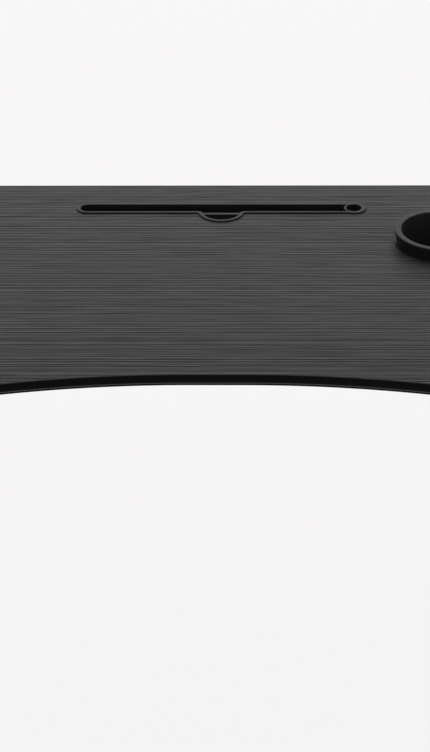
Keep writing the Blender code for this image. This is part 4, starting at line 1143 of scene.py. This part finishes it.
def stop_outline(sizes, legs, root):
    """Outline of the stop wall, whose face below leans as the open leg does."""
    face = legs.neck_width / 2 + GAP
    splay = math.atan2(foot_bar("right")[0].x - pivot("right").x, leg_length("right"))
    low = -sizes.stop_length
    high = low + sizes.stop_face
    lean = [(face - z * math.sin(splay)) / math.cos(splay) for z in (high, low)]
    back = lean[0] + sizes.stop_wall
    return [(lean[0], root), (lean[0], high), (lean[1], low), (back, low), (back, root)]


def cheek_outline(sizes, legs, root):
    """Outline of a cheek: round about the pin, with a straight edge to its root."""
    start = (-sizes.cheek_root, root)
    tangent = math.atan2(start[1], start[0]) + math.acos(sizes.cheek_radius / math.hypot(*start))
    side = legs.neck_width / 2 + sizes.stop_wall
    return joined([start], arc((0, 0), sizes.cheek_radius, math.degrees(tangent), 360, NOTCH_STEPS),
                  [(side, 0), (side, root)])


def drilled(shape, fasteners, spots, middle_z, thickness):
    """The shape with a screw hole at each spot through a plate of some thickness."""
    holes = [laid(rod("hole", fasteners.screw_radius + GAP, thickness * 2, SMALL_STEPS),
                  Matrix.Translation((x, y, middle_z))) for x, y in spots]
    return smoothed(combined(shape, (), holes))


def bracket_mesh(sizes, legs, fasteners):
    """Moulded bracket about its pin: plate, two cheeks, stop wall and gussets."""
    top, bottom, root = plate_levels(sizes)
    inner = legs.eye_width / 2 + sizes.cheek_gap
    outer = inner + sizes.cheek
    cheek = cheek_outline(sizes, legs, root)
    gusset = [(inner + sizes.cheek / 2, root), (inner + sizes.cheek / 2, root - sizes.gusset_drop),
              (outer, root - sizes.gusset_drop), (outer + sizes.gusset_reach, root)]
    plate = prism("plate", plate_outline(sizes), bottom, top)
    parts = [stood(prism("stop", stop_outline(sizes, legs, root), -outer, outer))]
    for way in (-1, 1):
        near, far = sorted((way * inner, way * outer))
        parts.append(stood(prism("cheek", cheek, near, far)))
        rib = stood(prism("rib", gusset, -sizes.gusset / 2, sizes.gusset / 2))
        parts.append(laid(rib, Matrix.Translation((-sizes.gusset_inward, 0, 0)),
                          Matrix.Rotation(way * QUARTER_TURN, 4, "Z")))
    bore = rod("bore", fasteners.pin_radius + GAP, outer * 2 + OVERRUN, SMALL_STEPS, "Y")
    shape = softened(combined(plate, parts, [bore]), sizes.edge_round)
    pin = bracket_matrix("right", "rear").translation
    screws = [middle(f"right_rear_bracket_screw_{i + 1}") - pin for i in range(BRACKET_SCREWS)]
    return drilled(shape, fasteners, [(at.x, at.y) for at in screws], root, sizes.plate)


def clip_mesh(sizes, legs, fasteners):
    """Leg clip about the folded bar: a saddle with two flared jaws, and an ear at each end."""
    top = plate_levels(sizes)[0]
    seat = legs.tube_radius + sizes.clip_clearance
    outer = seat + sizes.jaw_wall
    tip = seat + sizes.jaw_flare
    outline = joined([(-outer, -sizes.jaw_drop), (-tip, -sizes.jaw_drop), (-seat, -sizes.jaw_straight)],
                     arc((0, 0), seat, 180, 0, NOTCH_STEPS),
                     [(seat, -sizes.jaw_straight), (tip, -sizes.jaw_drop), (outer, -sizes.jaw_drop),
                      (outer, top), (-outer, top)])
    half = sizes.clip_length / 2
    reach = half + sizes.ear_reach
    saddle = stood(prism("saddle", outline, -half, half))
    ears = prism("ears", rounded_rectangle((-outer, -reach), (outer, reach), sizes.ear_corner, FILLET_STEPS),
                 top - sizes.ear, top)
    shape = softened(combined(saddle, [ears]), sizes.edge_round)
    spots = [(0, middle("right_rear_clip_screw").y * way) for way in ENDS.values()]
    return drilled(shape, fasteners, spots, top - sizes.ear / 2, sizes.ear)


def knuckle_mesh(legs, fasteners):
    """Moulded hinge end: eye, neck, collar and the spigot that plugs into the tube."""
    collar_end = legs.neck_length + legs.collar
    spigot_radius = legs.tube_radius - legs.tube_wall - GAP
    tip = collar_end + legs.spigot
    collar_top = legs.collar / 2 - legs.neck_length
    edge = legs.neck_round / 2
    body = turned("collar", [(0, collar_top), (legs.tube_radius - edge, collar_top),
                             (legs.tube_radius, collar_top - edge), (legs.tube_radius, -collar_end),
                             (spigot_radius, -collar_end), (spigot_radius, edge - tip),
                             (spigot_radius - edge, -tip), (0, -tip)], EYE_STEPS)
    half = (legs.neck_width / 2, legs.eye_width / 2)
    neck = prism("neck", rounded_rectangle((-half[0], -half[1]), half, legs.neck_round, ROUND_STEPS),
                 -legs.neck_length, 0)
    rim = [(legs.eye_radius - inset, z) for inset, z in rounding(legs.neck_round / 2, legs.eye_width / 2)]
    eye_profile = ([(0, -legs.eye_width / 2)] + [(r, -z) for r, z in reversed(rim)] + rim
                   + [(0, legs.eye_width / 2)])
    eye = turned_to_y(turned("eye", eye_profile, EYE_STEPS))
    bore = rod("bore", fasteners.pin_radius + GAP, legs.eye_width + OVERRUN, SMALL_STEPS, "Y")
    return smoothed(combined(body, [neck, eye], [bore]))


def sleeve_mesh(side, end, legs):
    """Foot sleeve round the foot bar, rounded at its ends and cut flat where it stands."""
    bar, radius = foot_bar(side)
    bore = legs.tube_radius + GAP
    half = legs.sleeve_length / 2
    top = [(radius - inset, z) for inset, z in rounding(legs.sleeve_round, half)]
    inner = [(bore + inset, z) for inset, z in rounding(GAP, half)]
    profile = inner[::-1] + [(r, -z) for r, z in inner] + [(r, -z) for r, z in reversed(top)] + top
    mesh = turned_to_y(turned("sleeve", profile, EYE_STEPS, closed=True))
    spot = bar + Vector((0, middle(f"{side}_{end}_foot_sleeve").y, 0))
    work = opened(laid(mesh, Matrix.Translation(spot)))
    everything = work.verts[:] + work.edges[:] + work.faces[:]
    cut = bmesh.ops.bisect_plane(work, geom=everything, plane_co=(0, 0, 0), plane_no=(0, 0, -1),
                                 clear_outer=True)
    rim = [part for part in cut["geom_cut"] if isinstance(part, bmesh.types.BMEdge)]
    bmesh.ops.holes_fill(work, edges=rim)
    bmesh.ops.recalc_face_normals(work, faces=work.faces)
    return smoothed(stored(work, mesh))


def leg_tube_mesh(side, legs, material):
    """Bent leg tube, open at its ends, in its place."""
    across = upright_y()
    start = legs.neck_length + legs.collar + GAP
    down = leg_length(side)
    path = bpy.data.meshes.new("leg_path")
    path.from_pydata([(0, across, -start), (0, across, -down), (0, -across, -down), (0, -across, -start)],
                     [(0, 1), (1, 2), (2, 3)], [])
    mesh = grown(f"{side}_leg_tube", tube_tree(), path, tube_radius=legs.tube_radius,
                 bend_radius=legs.bend_radius, bend_steps=SMALL_STEPS, sides=TUBE_SIDES, material=material)
    work = opened(mesh)
    bmesh.ops.remove_doubles(work, verts=work.verts, dist=WELD_DISTANCE)
    bmesh.ops.recalc_face_normals(work, faces=work.faces)
    caps = [face for face in work.faces if len(face.verts) == TUBE_SIDES]
    bmesh.ops.delete(work, geom=caps, context="FACES_ONLY")
    shell = added(stored(work, mesh))
    wall = shell.modifiers.new("wall", "SOLIDIFY")
    wall.thickness = legs.tube_wall
    wall.offset = -1
    wall.use_even_offset = True
    return smoothed(laid(evaluated(shell), leg_frame_matrix(side)))


def pin_profile(radius, long, head_radius, head_height, peen_radius, peen_height):
    """Half section of a pin from its formed end up to its domed head, about its middle."""
    top = long / 2
    head = [(r, top + z) for r, z in dome(head_radius, head_height, PIN_FLAT)]
    peen = [(r, -top - z) for r, z in reversed(dome(peen_radius, peen_height, PIN_FLAT))]
    return ([(0, -top - peen_height)] + peen + [(radius, -top), (radius, top)] + head
            + [(0, top + head_height)])


def pin_mesh(sizes, legs, brackets):
    """Hinge pin along Y, which goes through both cheeks of a bracket."""
    reach = legs.eye_width / 2 + brackets.cheek_gap + brackets.cheek + GAP
    profile = pin_profile(sizes.pin_radius, reach * 2, sizes.pin_head_radius, sizes.pin_head_height,
                          sizes.pin_peen_radius, sizes.pin_peen_height)
    return smoothed(turned_to_y(turned("pin", profile, SMALL_STEPS)))


def rivet_mesh(sizes, legs):
    """Rivet along Y, which goes through a tube and the spigot in it."""
    profile = pin_profile(sizes.rivet_radius, (legs.tube_radius + GAP) * 2, sizes.rivet_head_radius,
                          sizes.rivet_head_height, sizes.rivet_peen_radius, sizes.rivet_peen_height)
    return smoothed(turned_to_y(turned("rivet", profile, SMALL_STEPS)))


def both_ends(point):
    """A point moved to the front and the rear upright, each with the turn that puts a head outside."""
    return [(Vector(point) + Vector((0, way * upright_y(), 0)), 0.0 if way > 0 else math.pi)
            for way in ENDS.values()]


def screw_mesh(sizes, grip_end):
    """Pan-head screw that points up, its head's seat at zero, with a cross recess below."""
    head = [(r, -z) for r, z in reversed(dome(sizes.screw_head_radius, sizes.screw_head_height, SCREW_FLAT))]
    body = turned("screw", [(0, -sizes.screw_head_height)] + head
                  + [(sizes.screw_radius, 0), (sizes.screw_radius, grip_end - sizes.screw_tip),
                     (0, grip_end)], SMALL_STEPS)
    wide, span = sizes.recess_width / 2, sizes.recess_span / 2
    mouth = [(-span, -wide), (span, -wide), (span, wide), (-span, wide)]
    deep = [(x * RECESS_FLOOR[0], y * RECESS_FLOOR[1]) for x, y in mouth]
    arms = []
    for turn in (0, QUARTER_TURN):
        arm = lofted("arm", [(mouth, -sizes.screw_head_height - GAP),
                             (deep, sizes.recess_depth - sizes.screw_head_height)])
        arms.append(laid(arm, Matrix.Rotation(turn, 4, "Z")))
    return smoothed(combined(body, (), arms))


def screw_places(kind):
    """The nodes of one kind of screw, and the seat of each, with no turn of its own."""
    sizes = bpy.context.scene.lap_desk_fasteners
    names = sorted(name for name in frame["nodes"] if f"_{kind}_screw" in name)
    places = []
    for name in names:
        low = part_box(name)[0]
        at = middle(name)
        places.append(((at.x, at.y, low.z + sizes.screw_head_height), 0.0))
    return names, places


def seen_by_eye(tree):
    """One where a ray comes from the camera, a reflection or through glass, and zero elsewhere."""
    path = add(tree, "ShaderNodeLightPath").outputs
    either = calculated(tree, "MAXIMUM", path["Is Camera Ray"], path["Is Glossy Ray"])
    return calculated(tree, "MAXIMUM", either, path["Is Transmission Ray"])


def shade_seen(tree, stage):
    """Share of the floor's shade that the eye sees, which is largest by the soles."""
    low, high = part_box("right_rear_foot_sleeve")
    sole = ((low.x + high.x) / 2, high.y, 0.0)
    place = add(tree, "ShaderNodeTexCoord").outputs["Object"]
    quarter = add(tree, "ShaderNodeVectorMath", {0: place}, operation="ABSOLUTE").outputs[0]
    past = add(tree, "ShaderNodeVectorMath", {0: quarter, 1: sole}, operation="SUBTRACT").outputs[0]
    parts = add(tree, "ShaderNodeSeparateXYZ", {0: past}).outputs
    beyond = calculated(tree, "MAXIMUM", parts["Y"], 0.0)
    flat = add(tree, "ShaderNodeCombineXYZ", {"X": parts["X"], "Y": beyond}).outputs[0]
    away = add(tree, "ShaderNodeVectorMath", {0: flat}, operation="LENGTH").outputs["Value"]
    return ranged(tree, away, given=(0.0, stage.sole_reach), wanted=(stage.sole_shade, stage.shade_kept),
                  interpolation_type="SMOOTHSTEP")


def make_floor(stage):
    """Pale floor that keeps a share of the desk's shade and is clear from below."""
    material = bpy.data.materials.new("pale_floor")
    material.use_nodes = True
    tree = material.node_tree
    tree.nodes.clear()
    matt = add(tree, "ShaderNodeBsdfDiffuse", {"Color": opaque(stage.floor)}).outputs[0]
    pale = add(tree, "ShaderNodeEmission", {"Color": opaque(stage.floor), "Strength": 1.0}).outputs[0]
    plain = calculated(tree, "SUBTRACT", 1.0, shade_seen(tree, stage))
    even = calculated(tree, "MULTIPLY", seen_by_eye(tree), plain)
    above = add(tree, "ShaderNodeMixShader", {0: even, 1: matt, 2: pale}).outputs[0]
    clear = add(tree, "ShaderNodeBsdfTransparent").outputs[0]
    below = add(tree, "ShaderNodeNewGeometry").outputs["Backfacing"]
    both = add(tree, "ShaderNodeMixShader", {0: below, 1: above, 2: clear}).outputs[0]
    add(tree, "ShaderNodeOutputMaterial", {"Surface": both})
    work = bmesh.new()
    bmesh.ops.create_grid(work, x_segments=1, y_segments=1, size=stage.floor_half)
    mesh = stored(work, bpy.data.meshes.new("floor"))
    mesh.materials.append(material)
    added(mesh)


def make_world(stage):
    """Pale surroundings for the eye, and an even light from all round."""
    world = bpy.data.worlds.new("studio")
    world.use_nodes = True
    tree = world.node_tree
    tree.nodes.clear()
    light = add(tree, "ShaderNodeBackground", {"Color": WHITE, "Strength": stage.ambient}).outputs[0]
    pale = add(tree, "ShaderNodeBackground", {"Color": opaque(stage.floor), "Strength": 1.0}).outputs[0]
    both = add(tree, "ShaderNodeMixShader", {0: seen_by_eye(tree), 1: light, 2: pale}).outputs[0]
    add(tree, "ShaderNodeOutputWorld", {"Surface": both})
    bpy.context.scene.world = world


def make_lamp(stage):
    """One large soft lamp, above and behind the desk."""
    data = bpy.data.lights.new("soft_lamp", "AREA")
    data.shape = "RECTANGLE"
    data.size = stage.lamp_width
    data.size_y = stage.lamp_height
    data.energy = stage.lamp_power
    lamp = added(data)
    lamp.location = (0.0, stage.lamp_back, stage.lamp_rise)
    aim = Vector((0, 0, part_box("top_laminate")[1].z)) - lamp.location
    lamp.rotation_euler = aim.to_track_quat("-Z", "Y").to_euler()


def make_camera(stage):
    """Camera at the photograph's angle, looking along +Y and down."""
    data = bpy.data.cameras.new("camera")
    data.lens = stage.lens
    camera = added(data)
    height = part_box("top_laminate")[1].z + stage.camera_rise
    camera.location = (stage.camera_side, -stage.camera_back, height)
    aim = Matrix.Rotation(stage.heading, 4, "Z") @ Matrix.Rotation(QUARTER_TURN - stage.pitch, 4, "X")
    camera.rotation_euler = (aim @ Matrix.Rotation(stage.roll, 4, "Z")).to_euler()
    bpy.context.scene.camera = camera


class LAPDESK_OT_stage(Operator):
    """Make the floor, the soft light and the camera"""

    bl_idname = "lap_desk.stage"
    bl_label = "Stage"

    def execute(self, context):
        stage = context.scene.lap_desk_stage
        make_floor(stage)
        make_world(stage)
        make_lamp(stage)
        make_camera(stage)
        return {"FINISHED"}


class LAPDESK_OT_boards(Operator):
    """Finish the laminate and the fibreboard, whose solids stay as they are"""

    bl_idname = "lap_desk.boards"
    bl_label = "Laminate and Board"

    def execute(self, context):
        give_material("top_laminate", grain_material(context.scene.lap_desk_grain))
        give_material("desktop_board", board_material(context.scene.lap_desk_finishes))
        return {"FINISHED"}


class LAPDESK_OT_edge(Operator):
    """Make the edge moulding round the desktop"""

    bl_idname = "lap_desk.edge"
    bl_label = "Edge Moulding"

    def execute(self, context):
        sizes = context.scene.lap_desk_top
        mesh = smoothed(edge_moulding_mesh(sizes))
        material = edge_material(context.scene.lap_desk_finishes, sizes)
        finished("edge_moulding", mesh, material, "desktop", "edge_plastic", "edge_band")
        return {"FINISHED"}


class LAPDESK_OT_insert(Operator):
    """Make the slot insert with its cable notch and pen hole"""

    bl_idname = "lap_desk.insert"
    bl_label = "Slot Insert"

    def execute(self, context):
        scene = context.scene
        mesh = smoothed(slot_insert_mesh(scene.lap_desk_insert, scene.lap_desk_barbs))
        finished("tablet_slot_insert", mesh, plain_finish("satin_moulding"), "desktop", "moulded_plastic",
                 "slot_insert")
        return {"FINISHED"}


class LAPDESK_OT_cup(Operator):
    """Make the cup well and its raised ring"""

    bl_idname = "lap_desk.cup"
    bl_label = "Cup Holder"

    def execute(self, context):
        scene = context.scene
        mesh = smoothed(cup_holder_mesh(scene.lap_desk_cup, scene.lap_desk_barbs))
        line_well(mesh, scene.lap_desk_cup)
        finished("cup_well", mesh, plain_finish("satin_moulding"), "desktop", "moulded_plastic", "cup_holder")
        return {"FINISHED"}


class LAPDESK_OT_brackets(Operator):
    """Make the four leg brackets"""

    bl_idname = "lap_desk.brackets"
    bl_label = "Leg Brackets"

    def execute(self, context):
        scene = context.scene
        mesh = bracket_mesh(scene.lap_desk_brackets, scene.lap_desk_legs, scene.lap_desk_fasteners)
        for side, end in CORNERS:
            copy = laid(mesh.copy(), bracket_matrix(side, end))
            finished(f"{side}_{end}_hinge_bracket", copy, plain_finish("bracket_moulding"), "desktop",
                     "bracket_plastic", f"{side}_{end}_bracket")
        return {"FINISHED"}


class LAPDESK_OT_clips(Operator):
    """Make the two clips that hold the folded legs"""

    bl_idname = "lap_desk.clips"
    bl_label = "Leg Clips"

    def execute(self, context):
        scene = context.scene
        mesh = clip_mesh(scene.lap_desk_brackets, scene.lap_desk_legs, scene.lap_desk_fasteners)
        for side in SIDES:
            at = (middle(f"{side}_leg_clip").x, 0, pivot(side).z)
            copy = laid(mesh.copy(), Matrix.Translation(at))
            finished(f"{side}_bar_clip", copy, plain_finish("bracket_moulding"), "desktop",
                     "bracket_plastic", f"{side}_leg_clip")
        return {"FINISHED"}


class LAPDESK_OT_legs(Operator):
    """Make the two bent leg tubes"""

    bl_idname = "lap_desk.legs"
    bl_label = "Leg Tubes"

    def execute(self, context):
        material = plain_finish("powder_coat")
        for side in SIDES:
            mesh = leg_tube_mesh(side, context.scene.lap_desk_legs, material)
            finished(f"{side}_leg_tube", mesh, material, f"{side}_leg", "powder_coat", f"{side}_leg_frame")
        return {"FINISHED"}


class LAPDESK_OT_knuckles(Operator):
    """Make the four knuckles at the tube ends"""

    bl_idname = "lap_desk.knuckles"
    bl_label = "Knuckles"

    def execute(self, context):
        scene = context.scene
        mesh = knuckle_mesh(scene.lap_desk_legs, scene.lap_desk_fasteners)
        for side, end in CORNERS:
            at = Matrix.Translation((0, ENDS[end] * upright_y(), 0))
            copy = laid(mesh.copy(), leg_frame_matrix(side), at)
            finished(f"{side}_{end}_hinge_knuckle", copy, plain_finish("bracket_moulding"), f"{side}_leg",
                     "bracket_plastic", f"{side}_{end}_knuckle")
        return {"FINISHED"}


class LAPDESK_OT_sleeves(Operator):
    """Make the four foot sleeves"""

    bl_idname = "lap_desk.sleeves"
    bl_label = "Foot Sleeves"

    def execute(self, context):
        for side, end in CORNERS:
            mesh = sleeve_mesh(side, end, context.scene.lap_desk_legs)
            finished(f"{side}_{end}_foot_grip", mesh, plain_finish("foot_rubber"), f"{side}_leg",
                     "soft_rubber", f"{side}_{end}_foot_sleeve")
        return {"FINISHED"}


class LAPDESK_OT_pins(Operator):
    """Put the hinge pins through the brackets and the rivets through the tubes"""

    bl_idname = "lap_desk.pins"
    bl_label = "Pins and Rivets"

    def execute(self, context):
        scene = context.scene
        sizes, legs = scene.lap_desk_fasteners, scene.lap_desk_legs
        pin = pin_mesh(sizes, legs, scene.lap_desk_brackets)
        places = [place for side in SIDES for place in both_ends(pivot(side))]
        mesh = spread("hinge_pins", pin, places, zinc_finish())
        finished("hinge_pins", mesh, zinc_finish(), "desktop", "zinc_steel",
                 *(f"{side}_{end}_hinge_pin" for side, end in CORNERS))
        drop = legs.neck_length + legs.collar + legs.rivet_from_collar
        for side in SIDES:
            rivet = rivet_mesh(sizes, legs)
            mesh = spread(f"{side}_rivets", rivet, both_ends((0, 0, -drop)), zinc_finish())
            finished(f"{side}_leg_rivets", laid(mesh, leg_frame_matrix(side)), zinc_finish(),
                     f"{side}_leg", "zinc_steel", *(f"{side}_{end}_leg_rivet" for end in ENDS))
        return {"FINISHED"}


class LAPDESK_OT_screws(Operator):
    """Drive the screws of the brackets and the clips"""

    bl_idname = "lap_desk.screws"
    bl_label = "Screws"

    def execute(self, context):
        sizes = context.scene.lap_desk_fasteners
        for kind in ("bracket", "clip"):
            names, places = screw_places(kind)
            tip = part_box(names[0])[1].z - places[0][0][2]
            mesh = spread(f"{kind}_screws", screw_mesh(sizes, tip), places, zinc_finish(),
                          QUARTER_TURN, sizes.seed)
            finished(f"{kind}_screws", mesh, zinc_finish(), "desktop", "zinc_steel", *names)
        return {"FINISHED"}


OPERATORS = (LAPDESK_OT_stage, LAPDESK_OT_boards, LAPDESK_OT_edge, LAPDESK_OT_insert, LAPDESK_OT_cup,
             LAPDESK_OT_brackets, LAPDESK_OT_clips, LAPDESK_OT_legs, LAPDESK_OT_knuckles,
             LAPDESK_OT_sleeves, LAPDESK_OT_pins, LAPDESK_OT_screws)


class LAPDESK_PT_panel(Panel):
    """Pieces and sizes of the lap desk"""

    bl_idname = "LAPDESK_PT_panel"
    bl_label = "Lap Desk"
    bl_space_type = "VIEW_3D"
    bl_region_type = "UI"
    bl_category = "Lap Desk"

    def draw(self, context):
        column = self.layout.column(align=True)
        for operator in OPERATORS:
            column.operator(operator.bl_idname)
        for name, group in GROUPS.items():
            box = self.layout.box()
            box.label(text=group.__doc__)
            for field in group.__annotations__:
                box.prop(getattr(context.scene, name), field)


def register():
    """Make the classes and the scene's settings known to Blender."""
    for group in (*GROUPS.values(), *OPERATORS, LAPDESK_PT_panel):
        bpy.utils.register_class(group)
    for name, group in GROUPS.items():
        setattr(bpy.types.Scene, name, PointerProperty(type=group))


def unregister():
    """Take them away again."""
    for name in GROUPS:
        delattr(bpy.types.Scene, name)
    for group in (LAPDESK_PT_panel, *reversed(OPERATORS), *reversed(GROUPS.values())):
        bpy.utils.unregister_class(group)


def main():
    """Dress the desk and set its stage."""
    register()
    bpy.context.scene.view_settings.view_transform = "Standard"
    bpy.ops.lap_desk.stage()
    bpy.ops.lap_desk.boards()
    bpy.ops.lap_desk.edge()
    bpy.ops.lap_desk.insert()
    bpy.ops.lap_desk.cup()
    bpy.ops.lap_desk.brackets()
    bpy.ops.lap_desk.clips()
    bpy.ops.lap_desk.legs()
    bpy.ops.lap_desk.knuckles()
    bpy.ops.lap_desk.sleeves()
    bpy.ops.lap_desk.pins()
    bpy.ops.lap_desk.screws()


if __name__ == "__main__":
    main()
